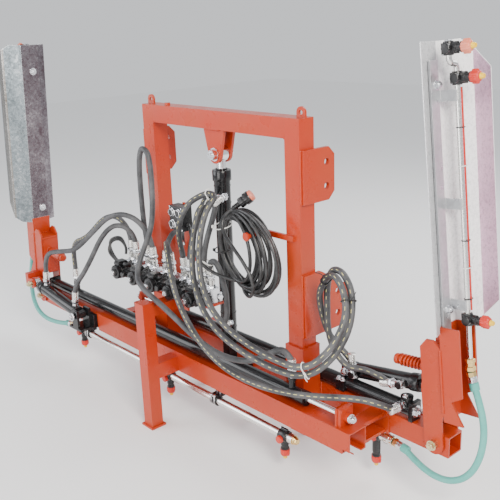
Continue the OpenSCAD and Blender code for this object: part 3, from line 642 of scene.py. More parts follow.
class Shape:
    """A mesh under construction, in the row frame."""

    def __init__(self) -> None:
        """Starts empty."""
        self.mesh = bmesh.new()
        self.materials: list[Material] = []

    def paint(self, faces: Iterable[bmesh.types.BMFace], material: Material) -> None:
        """Gives faces a material.

        Args:
            faces: Faces of the shape.
            material: Their finish.
        """
        if material not in self.materials:
            self.materials.append(material)
        index = self.materials.index(material)
        for face in faces:
            face.material_index = index

    def skin(self, rings: Sequence[Sequence[bmesh.types.BMVert]], material: Material) -> None:
        """Joins rings of corners into one closed skin.

        Args:
            rings: Rings with the same number of corners, from one end to the other.
            material: The skin's finish.
        """
        sides = len(rings[0])
        faces = []
        for low, high in zip(rings, rings[1:]):
            for i in range(sides):
                j = (i + 1) % sides
                faces.append(self.mesh.faces.new((low[i], low[j], high[j], high[i])))
        faces.append(self.mesh.faces.new(rings[0][::-1]))
        faces.append(self.mesh.faces.new(rings[-1]))
        self.paint(faces, material)

    def lathe(
        self, profile: Sequence[tuple[float, float]], origin: Vector, axis: Vector,
        material: Material, sides: int = 32, flute: float = 0.0, flutes: int = 0,
    ) -> None:
        """Adds a closed turned shape.

        Args:
            profile: Radius and height pairs in millimetres, from one end to the other.
            origin: Where height is 0.
            axis: Direction of height.
            material: The shape's finish.
            sides: Sides of the turned shape, 6 for a nut.
            flute: Depth in millimetres of grooves along the shape.
            flutes: Number of such grooves.
        """
        turn = basis(axis)
        rings = []
        for radius, height in profile:
            ring = []
            for i in range(sides):
                angle = 2 * math.pi * i / sides
                r = radius
                if flutes and radius > flute * 3:
                    r -= flute * (0.5 - 0.5 * math.cos(angle * flutes))
                local = Vector((r * math.cos(angle), r * math.sin(angle), height)) / 1000
                ring.append(self.mesh.verts.new(origin + turn @ local))
            rings.append(ring)
        self.skin(rings, material)

    def sweep(
        self, points: Sequence[Vector], radius: float, material: Material, sides: int = 14,
    ) -> None:
        """Adds a round bar along points.

        Args:
            points: The bar's centre line.
            radius: Radius in millimetres.
            material: The bar's finish.
            sides: Sides of the bar.
        """
        count = len(points)
        along = [
            (points[min(i + 1, count - 1)] - points[max(i - 1, 0)]).normalized()
            for i in range(count)
        ]
        side = along[0].orthogonal().normalized()
        rings = []
        for i, (point, way) in enumerate(zip(points, along)):
            if i:
                side = (along[i - 1].rotation_difference(way) @ side)
                side = (side - way * side.dot(way)).normalized()
            up = way.cross(side)
            rings.append([
                self.mesh.verts.new(
                    point + (
                        side * math.cos(2 * math.pi * j / sides)
                        + up * math.sin(2 * math.pi * j / sides)
                    ) * radius / 1000
                )
                for j in range(sides)
            ])
        self.skin(rings, material)

    def block(self, low: Vector, high: Vector, material: Material, edge: float = 1.0) -> None:
        """Adds a box with rounded edges.

        Args:
            low: Lowest corner.
            high: Highest corner.
            material: The box's finish.
            edge: Edge radius in millimetres.
        """
        made = bmesh.ops.create_cube(self.mesh, size=1.0)
        centre, size = (low + high) / 2, high - low
        for vert in made["verts"]:
            vert.co = Vector(
                (vert.co.x * size.x, vert.co.y * size.y, vert.co.z * size.z)
            ) + centre
        edges = list({e for v in made["verts"] for e in v.link_edges})
        faces = list({f for v in made["verts"] for f in v.link_faces})
        self.paint(faces, material)
        if edge:
            bmesh.ops.bevel(
                self.mesh, geom=edges, offset=edge / 1000, segments=2, affect="EDGES",
                material=-1,
            )

    def plate(
        self, outline: Sequence[tuple[float, float]], place: Matrix, thickness: float,
        material: Material,
    ) -> None:
        """Adds a flat plate cut to an outline.

        Args:
            outline: Corners in millimetres, anticlockwise in the place's XY plane.
            place: Where the outline's origin and axes are.
            thickness: Millimetres along the place's Z.
            material: The plate's finish.
        """
        low = [self.mesh.verts.new(place @ (Vector((x, y, 0)) / 1000)) for x, y in outline]
        high = [
            self.mesh.verts.new(place @ (Vector((x, y, thickness)) / 1000)) for x, y in outline
        ]
        self.skin([low, high], material)

    def make(
        self, name: str, body: Body | None, slot: Slot, replaces: Sequence[str] = ()
    ) -> Object:
        """Turns the mesh into a piece of the machine.

        Args:
            name: The piece's name.
            body: The body it rides on, or None to leave it on no body.
            slot: The record's slot, handed on to settle.
            replaces: CAD nodes it stands for.

        Returns:
            The new object.
        """
        bmesh.ops.recalc_face_normals(self.mesh, faces=self.mesh.faces)
        data = bpy.data.meshes.new(name)
        self.mesh.to_mesh(data)
        self.mesh.free()
        for material in self.materials:
            data.materials.append(material)
        piece = bpy.data.objects.new(name, data)
        bpy.context.collection.objects.link(piece)
        shade(data, 35.0)
        settle(piece, body, slot, replaces)
        return piece


def shade(data: bpy.types.Mesh, angle: float) -> None:
    """Smooths a mesh's faces and keeps edges sharper than an angle in degrees.

    Args:
        data: The mesh.
        angle: Edges that turn by more than this stay sharp.
    """
    mesh = bmesh.new()
    mesh.from_mesh(data)
    limit = math.radians(angle)
    for face in mesh.faces:
        face.smooth = True
    for edge in mesh.edges:
        if len(edge.link_faces) == 2:
            edge.smooth = edge.calc_face_angle(0.0) < limit
    mesh.to_mesh(data)
    mesh.free()


def settle(piece: Object, body: Body | None, slot: Slot, replaces: Sequence[str] = ()) -> None:
    """Attaches a piece to the body it rides on and hides the frame nodes it stands for.

    Args:
        piece: The piece's object.
        body: The body it rides on.
        slot: Its material slot; not used.
        replaces: Frame nodes that it stands for.
    """
    if body is not None:
        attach(piece, body.value)
    if replaces:
        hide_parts(*replaces)
    log.info("%s: %d faces on %s", piece.name, len(piece.data.polygons), body)


# ---- repeats


class Repeater(NodeTree):
    """Base of the Geometry Nodes trees: named inputs, realised and given a material."""

    label = "repeater"
    inputs: dict[str, float] = {}

    def __init__(self, material: Material, **sizes: float) -> None:
        """Builds the tree.

        Args:
            material: The repeated shape's finish.
            sizes: Values of the named inputs, in metres, that differ from the usual.
        """
        self.material = material
        self.sizes = {**self.inputs, **sizes}
        self.tree = bpy.data.node_groups.new(self.label, "GeometryNodeTree")
        face = self.tree.interface
        face.new_socket("Geometry", in_out="INPUT", socket_type="NodeSocketGeometry")
        self.sockets = {
            name: face.new_socket(name, in_out="INPUT", socket_type="NodeSocketFloat")
            for name in self.inputs
        }
        face.new_socket("Geometry", in_out="OUTPUT", socket_type="NodeSocketGeometry")
        self.entry = self.new("NodeGroupInput")
        self.exit = self.new("NodeGroupOutput")
        shape = self.build()
        real = self.new("GeometryNodeRealizeInstances")
        paint = self.new("GeometryNodeSetMaterial")
        paint.inputs["Material"].default_value = material
        self.link(shape, real.inputs[0])
        self.link(real.outputs[0], paint.inputs[0])
        self.link(paint.outputs[0], self.exit.inputs[0])

    def build(self) -> Socket:
        """Builds the tree's own part and returns its geometry."""
        raise NotImplementedError

    def calc(self, operation: str, a: Socket | float, b: Socket | float) -> Socket:
        """A Math node on two values or sockets.

        Args:
            operation: The node's operation.
            a: First value or socket.
            b: Second value or socket.

        Returns:
            The result.
        """
        node = self.new("ShaderNodeMath")
        node.operation = operation
        for socket, value in zip(node.inputs, (a, b)):
            if isinstance(value, Socket):
                self.link(value, socket)
            else:
                socket.default_value = value
        return node.outputs[0]

    def cylinder(self, sides: int, radius: Socket, depth: Socket, lift: Socket) -> Socket:
        """A disc of a depth whose middle is lifted along Z.

        Args:
            sides: Number of sides.
            radius: Its radius.
            depth: Its thickness.
            lift: Height of its middle.

        Returns:
            Its geometry.
        """
        disc = self.new("GeometryNodeMeshCylinder")
        disc.inputs["Vertices"].default_value = sides
        self.link(radius, disc.inputs["Radius"])
        self.link(depth, disc.inputs["Depth"])
        vector = self.new("ShaderNodeCombineXYZ")
        self.link(lift, vector.inputs["Z"])
        move = self.new("GeometryNodeTransform")
        self.link(disc.outputs["Mesh"], move.inputs["Geometry"])
        self.link(vector.outputs[0], move.inputs["Translation"])
        return move.outputs[0]

    def attribute(self, name: str, kind: str) -> Socket:
        """A named attribute of the incoming geometry.

        Args:
            name: The attribute's name.
            kind: Its data type.

        Returns:
            The attribute's values.
        """
        node = self.new("GeometryNodeInputNamedAttribute")
        node.data_type = kind
        node.inputs["Name"].default_value = name
        return node.outputs["Attribute"]

    def facing(self) -> Node:
        """A turn that takes +Z to each point's facing.

        Returns:
            The node that gives the turn.
        """
        aim = self.new("FunctionNodeAlignRotationToVector")
        aim.axis = "Z"
        self.link(self.attribute("facing", "FLOAT_VECTOR"), aim.inputs["Vector"])
        return aim

    def scatter(
        self, points: Socket, part: Socket, turn: Socket, scale: Socket | None = None,
    ) -> Socket:
        """Puts a part on every point.

        Args:
            points: Where the parts go.
            part: The part's geometry.
            turn: Each part's turn.
            scale: Each part's size, or None for full size.

        Returns:
            The parts' geometry.
        """
        put = self.new("GeometryNodeInstanceOnPoints")
        for name, socket in (("Points", points), ("Instance", part), ("Rotation", turn)):
            self.link(socket, put.inputs[name])
        if scale is not None:
            self.link(scale, put.inputs["Scale"])
        return put.outputs[0]

    def run(
        self, name: str, data: bpy.types.Mesh, body: Body | None, slot: Slot,
        replaces: Sequence[str] = (), angle: float = 40.0,
    ) -> Object:
        """Runs the tree on a mesh and keeps the result as a plain piece.

        Args:
            name: The piece's name.
            data: The mesh whose points or edges carry the repeats.
            body: The body it rides on.
            slot: The record's slot, handed on to settle.
            replaces: CAD nodes it stands for.
            angle: Degrees past which an edge stays sharp.

        Returns:
            The new object.
        """
        guide = bpy.data.objects.new(name + "_guide", data)
        bpy.context.collection.objects.link(guide)
        modifier = guide.modifiers.new("repeat", "NODES")
        modifier.node_group = self.tree
        for key, socket in self.sockets.items():
            modifier[socket.identifier] = float(self.sizes[key])
        guide.update_tag()
        graph = bpy.context.evaluated_depsgraph_get()
        made = bpy.data.meshes.new_from_object(guide.evaluated_get(graph))
        made.name = name
        bpy.data.objects.remove(guide)
        shade(made, angle)
        piece = bpy.data.objects.new(name, made)
        bpy.context.collection.objects.link(piece)
        settle(piece, body, slot, replaces)
        return piece


class HexBolts(Repeater):
    """Hex bolt heads on washers, one at each point, facing along its facing."""

    label = "hex_bolts"
    inputs = {"Head Radius": 0.0075, "Head Height": 0.0055, "Washer Radius": 0.0095,
              "Washer Height": 0.0016, "Stub Radius": 0.004, "Stub Height": 0.003}

    def build(self) -> Socket:
        """Builds washer, head and stub, and puts one on each point.

        Returns:
            The geometry of all the copies.
        """
        size = {name: self.entry.outputs[name] for name in self.inputs}
        washer = self.cylinder(24, size["Washer Radius"], size["Washer Height"],
                               self.calc("MULTIPLY", size["Washer Height"], 0.5))
        middle = self.calc("ADD", size["Washer Height"],
                           self.calc("MULTIPLY", size["Head Height"], 0.5))
        head = self.cylinder(6, size["Head Radius"], size["Head Height"], middle)
        top = self.calc("ADD", size["Washer Height"], size["Head Height"])
        stub = self.cylinder(14, size["Stub Radius"], size["Stub Height"],
                             self.calc("ADD", top, self.calc("MULTIPLY", size["Stub Height"], 0.5)))
        crown = self.cylinder(24, self.calc("MULTIPLY", size["Head Radius"], 0.84),
                              self.calc("MULTIPLY", size["Head Height"], 0.2), top)
        join = self.new("GeometryNodeJoinGeometry")
        for part in (washer, head, crown, stub):
            self.link(part, join.inputs[0])
        return self.scatter(self.entry.outputs["Geometry"], join.outputs[0],
                            self.facing().outputs[0], self.attribute("size", "FLOAT"))


class WeldBeads(Repeater):
    """Overlapping ripples along the edges of a mesh, as a weld leaves them."""

    label = "weld_beads"
    inputs = {"Bead Radius": 0.0034, "Pitch": 0.0026}

    def build(self) -> Socket:
        """Builds one flattened drop and lays it along each edge.

        Returns:
            The geometry of all the copies.
        """
        curve = self.new("GeometryNodeMeshToCurve")
        self.link(self.entry.outputs["Geometry"], curve.inputs[0])
        points = self.new("GeometryNodeCurveToPoints")
        points.mode = "LENGTH"
        self.link(curve.outputs[0], points.inputs["Curve"])
        self.link(self.entry.outputs["Pitch"], points.inputs["Length"])
        drop = self.new("GeometryNodeMeshUVSphere")
        drop.inputs["Segments"].default_value = 8
        drop.inputs["Rings"].default_value = 5
        self.link(self.entry.outputs["Bead Radius"], drop.inputs["Radius"])
        uneven = self.new("FunctionNodeRandomValue")
        uneven.data_type = "FLOAT"
        uneven.inputs[2].default_value = 0.85
        uneven.inputs[3].default_value = 1.12
        uneven.inputs["Seed"].default_value = 7
        return self.scatter(points.outputs["Points"], drop.outputs["Mesh"],
                            points.outputs["Rotation"], uneven.outputs[1])


class CoilSpring(Repeater):
    """A round-wire compression spring along each edge's start, turned by its facing."""

    label = "coil_spring"
    inputs = {"Coil Radius": 0.0125, "Wire Radius": 0.0028, "Length": 0.078, "Turns": 8.0}

    def build(self) -> Socket:
        """Winds the wire and puts one spring on each point.

        Returns:
            The geometry of all the copies.
        """
        coil = self.new("GeometryNodeCurveSpiral")
        coil.inputs["Resolution"].default_value = 28
        self.link(self.entry.outputs["Turns"], coil.inputs["Rotations"])
        self.link(self.entry.outputs["Coil Radius"], coil.inputs["Start Radius"])
        self.link(self.entry.outputs["Coil Radius"], coil.inputs["End Radius"])
        self.link(self.entry.outputs["Length"], coil.inputs["Height"])
        wire = self.new("GeometryNodeCurvePrimitiveCircle")
        wire.inputs["Resolution"].default_value = 10
        self.link(self.entry.outputs["Wire Radius"], wire.inputs["Radius"])
        tube = self.new("GeometryNodeCurveToMesh")
        tube.inputs["Fill Caps"].default_value = True
        self.link(coil.outputs[0], tube.inputs["Curve"])
        self.link(wire.outputs[0], tube.inputs["Profile Curve"])
        return self.scatter(self.entry.outputs["Geometry"], tube.outputs[0],
                            self.facing().outputs[0])


class InkDashes(Repeater):
    """Printed dashes lying on a hose, one at each point, turned by two directions."""

    label = "ink_dashes"
    inputs = {"Dash Length": 0.009, "Dash Width": 0.0013, "Dash Height": 0.0004}

    def build(self) -> Socket:
        """Builds one dash and puts it on each point.

        Returns:
            The geometry of all the copies.
        """
        size = self.new("ShaderNodeCombineXYZ")
        self.link(self.entry.outputs["Dash Length"], size.inputs["X"])
        self.link(self.entry.outputs["Dash Width"], size.inputs["Y"])
        self.link(self.entry.outputs["Dash Height"], size.inputs["Z"])
        dash = self.new("GeometryNodeMeshCube")
        self.link(size.outputs[0], dash.inputs["Size"])
        along = self.new("FunctionNodeAlignRotationToVector")
        along.axis = "X"
        along.pivot_axis = "Z"
        self.link(self.facing().outputs[0], along.inputs["Rotation"])
        self.link(self.attribute("along", "FLOAT_VECTOR"), along.inputs["Vector"])
        return self.scatter(self.entry.outputs["Geometry"], dash.outputs["Mesh"],
                            along.outputs[0])


def point_mesh(
    name: str, places: Sequence[Vector], facings: Sequence[Vector],
    sizes: Sequence[float] | None = None, along: Sequence[Vector] | None = None,
) -> bpy.types.Mesh:
    """A mesh of loose points with the attributes that the repeaters read.

    Args:
        name: The mesh's name.
        places: Where the points are.
        facings: Which way each repeat faces.
        sizes: Scale of each repeat, 1 if left out.
        along: Second direction of each repeat.

    Returns:
        The mesh.
    """
    data = bpy.data.meshes.new(name)
    data.from_pydata([tuple(p) for p in places], [], [])
    facing = data.attributes.new("facing", "FLOAT_VECTOR", "POINT")
    facing.data.foreach_set("vector", [c for f in facings for c in f])
    size = data.attributes.new("size", "FLOAT", "POINT")
    size.data.foreach_set("value", list(sizes or [1.0] * len(places)))
    if along is not None:
        second = data.attributes.new("along", "FLOAT_VECTOR", "POINT")
        second.data.foreach_set("vector", [c for f in along for c in f])
    return data


def bolt_set(
    name: str, places: Sequence[tuple[Vector, Vector, float]], finish: Material, body: Body,
) -> None:
    """Puts hex bolts on a body.

    Args:
        name: The piece's name.
        places: Each bolt's place, facing and size.
        finish: The bolts' finish.
        body: The body they ride on.
    """
    spots, ways, sizes = zip(*places)
    HexBolts(finish).run(name, point_mesh(f"{name}_places", spots, ways, sizes), body,
                         Slot.STEEL)


def line_mesh(name: str, lines: Sequence[Sequence[Vector]]) -> bpy.types.Mesh:
    """A mesh of open lines.

    Args:
        name: The mesh's name.
        lines: Each line's points.

    Returns:
        The mesh.
    """
    data = bpy.data.meshes.new(name)
    points, edges = [], []
    for line in lines:
        start = len(points)
        points += [tuple(p) for p in line]
        edges += [(start + i, start + i + 1) for i in range(len(line) - 1)]
    data.from_pydata(points, edges, [])
    return data



ROUTES: dict[str, list[tuple[float, float, float]]] = {
    "lift_hose_a": [
        (-24, 52, 452.3), (-23.4, 52.1, 479.9), (-20.2, 52.6, 507.3), (-14.9, 53.9, 534.4),
        (-7.9, 56.4, 561.1), (0, 60.2, 587.3), (7.9, 64.5, 613.4), (15.8, 68.1, 639.6),
        (23.1, 71.9, 666), (20, 92.5, 676),
    ],
    "lift_hose_b": [
        (4, 52, 452.3), (5, 51, 478), (14, 48, 500), (34, 46, 506), (50, 48, 486),
        (56, 52, 453), (60.6, 56.7, 419), (56.4, 61.8, 385), (48.2, 67.4, 351.8),
        (34.3, 71.1, 320.3), (20, 92.5, 306),
    ],
    "feed_left_a": [
        (-384, 52, 452.3), (-385, 51.6, 487.2), (-394.1, 49.2, 520.6), (-417.9, 44.2, 545.1),
        (-450.8, 38.2, 553.9), (-484.2, 32.6, 546.5), (-514.1, 27.4, 529.3),
        (-540.8, 22.6, 507.3), (-567.6, 18.4, 485.2), (-596.1, 15.2, 465.3),
        (-627.5, 13.5, 450.2), (-659.9, 14.1, 437.1), (-687.9, 17.8, 416.8),
        (-708, 23, 388.9), (-718.5, 27.5, 355.9), (-721.8, 29.7, 321.3), (-722, 30, 286.3),
    ],
    "feed_left_b": [
        (-294, 52, 452.3), (-294.2, 50.8, 486.8), (-295.4, 48.7, 521.3),
        (-295.9, 46.3, 555.7), (-294.9, 44.2, 590.2), (-292.9, 42.1, 624.6),
        (-290, 40.1, 659), (-286.1, 37.9, 693.2), (-280.9, 35.6, 727.3),
        (-272.1, 33.1, 760.6), (-252.9, 30.2, 788.4), (-223.3, 27.4, 781), (-212, 26, 748.7),
        (-208.4, 24.8, 714.3), (-206.7, 23.3, 679.9), (-205.6, 20.7, 645.5),
        (-205.2, 17.2, 611.1), (-206, 11.2, 577.1), (-209.2, 0.9, 544.3),
        (-213, -13.3, 513.1), (-212.7, -29.8, 482.8), (-206, -47.3, 453.9),
        (-185.9, -61.6, 430.5), (-154.9, -69.3, 417.6), (-121.7, -74, 409.4),
        (-88.3, -75.6, 400.9), (-56.1, -73.9, 388.6), (-24.9, -70.6, 374.2),
        (5.7, -67.1, 358.5), (35.9, -63.3, 342.2), (66.7, -59.1, 327.1),
        (98.1, -54.3, 313.7), (130.3, -48.1, 302.9), (162.8, -38.9, 295.9),
        (195.3, -27.5, 293), (227.1, -15.1, 296.9), (256.5, -2.7, 310.1),
        (283.6, 9.5, 327.5), (312.6, 22, 340.9), (335.3, 29.6, 320.7), (337.6, 30, 301.4),
        (338, 30, 286.4),
    ],
    "tilt_left_a": [
        (-356, 52, 452.3), (-356.4, 49.3, 483.8), (-361.3, 41.4, 513.9), (-377.1, 26.2, 536),
        (-403.3, 9.9, 537.7), (-428.2, -1.5, 522.3), (-449.2, -9.6, 500),
        (-468.1, -15.7, 475.4), (-485.8, -20.5, 449.5), (-503.4, -24.6, 423.6),
        (-522.1, -28.2, 398.3), (-541.7, -31.4, 373.7), (-562.7, -33.9, 350.1),
        (-585.4, -35.4, 328), (-606.4, -36, 304.4), (-619.4, -36, 275.7),
        (-622.8, -36, 259.4), (-625, -36, 244.6),
    ],
    "tilt_left_b": [
        (-266, 52, 452.3), (-266.5, 49.4, 486.8), (-271, 43.2, 520.6), (-282.6, 32.6, 551.3),
        (-303.1, 18.7, 575.1), (-332.7, 4.6, 585.2), (-365.1, -6.7, 581.8),
        (-396.3, -15.3, 569.6), (-424.9, -21.3, 551.1), (-451.9, -25.9, 530),
        (-479.1, -29.8, 508.8), (-506.4, -33.3, 487.9), (-534, -36.3, 467.1),
        (-562.8, -38.8, 448.1), (-593.9, -40.5, 433), (-627, -41.5, 422.7),
        (-660.7, -41.9, 414.8), (-694.4, -41.9, 406.8), (-728, -41.5, 398.1),
        (-760.7, -40.5, 386.9), (-789, -38.9, 367.4), (-807.9, -37.2, 338.7),
        (-816.6, -36.2, 305.2), (-820.3, -36, 270.8),
    ],
    "tilt_right_a": [
        (-114, 52, 452.3), (-112.5, 47.7, 492.2), (-103.9, 36, 529.6), (-90.1, 22.3, 564.7),
        (-72.5, 12.9, 599.6), (-51.6, 11.2, 633.7), (-27.1, 16.8, 665), (5.2, 25.6, 686.7),
        (42.7, 30.5, 700.3), (76.1, 20.7, 696.4), (77.4, -6.8, 667.2), (81.5, -27.5, 633.1),
        (87.4, -42.5, 596.3), (97.1, -55.3, 559.5), (111.9, -66.5, 523.8),
        (131.9, -75.4, 490.2), (157.2, -81.7, 459.6), (188.9, -86.1, 435.5),
        (225.1, -89.2, 418.4), (263.3, -91.1, 406), (302.5, -91.9, 397.3),
        (342.1, -91.9, 390.6), (382, -91, 385.8), (422, -88.4, 382.9), (461.9, -83.1, 382.6),
        (497.1, -68.8, 393.3), (518.4, -45.5, 417.8), (527.2, -19, 446.5), (526, 7.1, 477),
        (516.1, 26.7, 510.4), (494.8, 40.8, 541.1), (462.3, 53.8, 560), (427.5, 68.2, 549.9),
        (400.2, 79.6, 522.8), (378, 91.4, 491.5), (366.1, 105, 455.8), (362.2, 118.3, 418.1),
        (364, 131.1, 380), (377.3, 144, 344.7), (406.4, 152.1, 318.7), (424, 154, 301.6),
        (426.4, 154, 286.8),
    ],
    "tilt_right_b": [
        (-86, 52, 452.3), (-85, 52, 496.4), (-77.5, 56, 539.7), (-61.9, 60.1, 580.8),
        (-42.6, 61.8, 620.5), (-19.5, 59.3, 657.9), (12.1, 54.2, 688.1), (38.9, 40.1, 685.3),
        (30.2, 6.2, 659.1), (35.2, -15.3, 621), (44.1, -32.2, 581.2), (54.9, -46.1, 540.7),
        (69.2, -56.7, 500.3), (91.1, -65.6, 463.1), (120.1, -72.9, 430.7),
        (155.5, -78.2, 405), (195.1, -81.7, 385.7), (237.2, -83.5, 372.7),
        (280.5, -84, 364.2), (324.2, -83.9, 358), (368.2, -82.5, 354.1),
        (412.2, -78.7, 352.5), (455.7, -71.7, 354.9), (493.8, -56.6, 369.7),
        (516.8, -30.4, 396.2), (526.3, -0.5, 427.1), (527.3, 25.1, 462.9),
        (520.8, 43.4, 502.5), (503.7, 57.5, 540.4), (471, 68.8, 567.1), (431.1, 82.3, 563.2),
        (403, 96, 532.5), (387.8, 107.1, 492.8), (382.8, 112.3, 449.3),
        (379.7, 116.5, 405.4), (381.4, 123.6, 361.9), (394.5, 132.5, 321),
        (428.2, 137.4, 294.9), (469.3, 152.1, 293.6), (513, 154.3, 290.8),
        (541.4, 154, 284.9), (556.2, 154, 287.3),
    ],
    "feed_right_a": [
        (-176, 52, 452.3), (-175.4, 48.1, 484.3), (-167.7, 35.5, 512.6),
        (-147.3, 18.1, 529.7), (-121.1, 0.1, 529.8), (-96.5, -15.7, 516.4),
        (-74, -29.1, 497.7), (-53, -40.8, 476.1), (-32.5, -50.7, 453.3),
        (-10.5, -59.1, 431.2), (12.9, -65.8, 410), (37.4, -71.5, 389.8), (63, -76.2, 370.8),
        (89.7, -80.1, 353), (117.4, -83, 336.8), (146.3, -84.7, 322.5),
        (176.1, -85.3, 310.3), (206.7, -84.6, 300), (237.9, -82.4, 292.1),
        (269.5, -78.7, 286.6), (301.1, -73.6, 282.9), (332.6, -66.9, 280.7),
        (363.8, -58.5, 280), (394.3, -48.2, 280.1), (424.2, -36, 280.7), (453, -21.6, 281.8),
        (480.6, -4.8, 283.1), (506.8, 14, 284), (532.4, 33.5, 283), (557, 54, 278.7),
        (577.4, 76.3, 267.9), (588.5, 102.2, 252.6), (590, 118.6, 247.5), (590, 133.5, 246),
    ],
    "feed_right_b": [
        (-204, 52, 452.3), (-204.1, 55.4, 484.8), (-205.8, 67.8, 514.8),
        (-211.3, 92.8, 533.7), (-219.6, 122.3, 525.5), (-227.6, 143.1, 501.8),
        (-235.7, 158.8, 474.3), (-244.6, 171.7, 445.6), (-255.1, 181.6, 416.3),
        (-269.1, 188.3, 387.5), (-288.3, 191.4, 361.4), (-314.9, 190.1, 342.8),
        (-344.6, 182.9, 331.4), (-370.5, 170.4, 316.2), (-378, 164.9, 301.6),
        (-378, 164, 286.6),
    ],
    "green_right": [
        (559.6, 158, 128), (591.7, 156.5, 121.8), (623.5, 152, 110), (656.2, 148, 100.4),
        (690.1, 146.3, 96.3), (723.9, 147.9, 100.7), (753.5, 152.9, 116.6),
        (774.2, 159.4, 142.8), (785.4, 166.1, 174.4), (789.2, 172.6, 207.8),
        (786.7, 178.3, 241.4), (778.3, 182.5, 274.3), (765.5, 185.7, 306),
        (751.8, 187.7, 337.3), (741, 188, 368.6),
    ],
    "green_left": [
        (-751.6, 14, 108), (-783.8, 11.6, 104.3), (-816.8, 6.3, 98.5), (-850.1, 1, 94.3),
        (-883.7, -3, 92.2), (-917.6, -4.5, 92), (-951.4, -3.8, 94.8), (-984.3, -1.7, 102.7),
        (-1013.8, 1.6, 118.8), (-1035.3, 5.6, 144.4), (-1046.5, 9.5, 176.1),
        (-1049.2, 12.7, 209.7), (-1045.3, 15, 243.3), (-1036.5, 16.7, 276),
        (-1024.3, 17.7, 307.7), (-1010.8, 18, 338.8), (-997, 18, 368.6),
    ],
}

# ---- hoses


class Ends(str, Enum):
    """How a hose is finished at one end."""

    STRAIGHT = "straight"
    SPRAY = "spray"


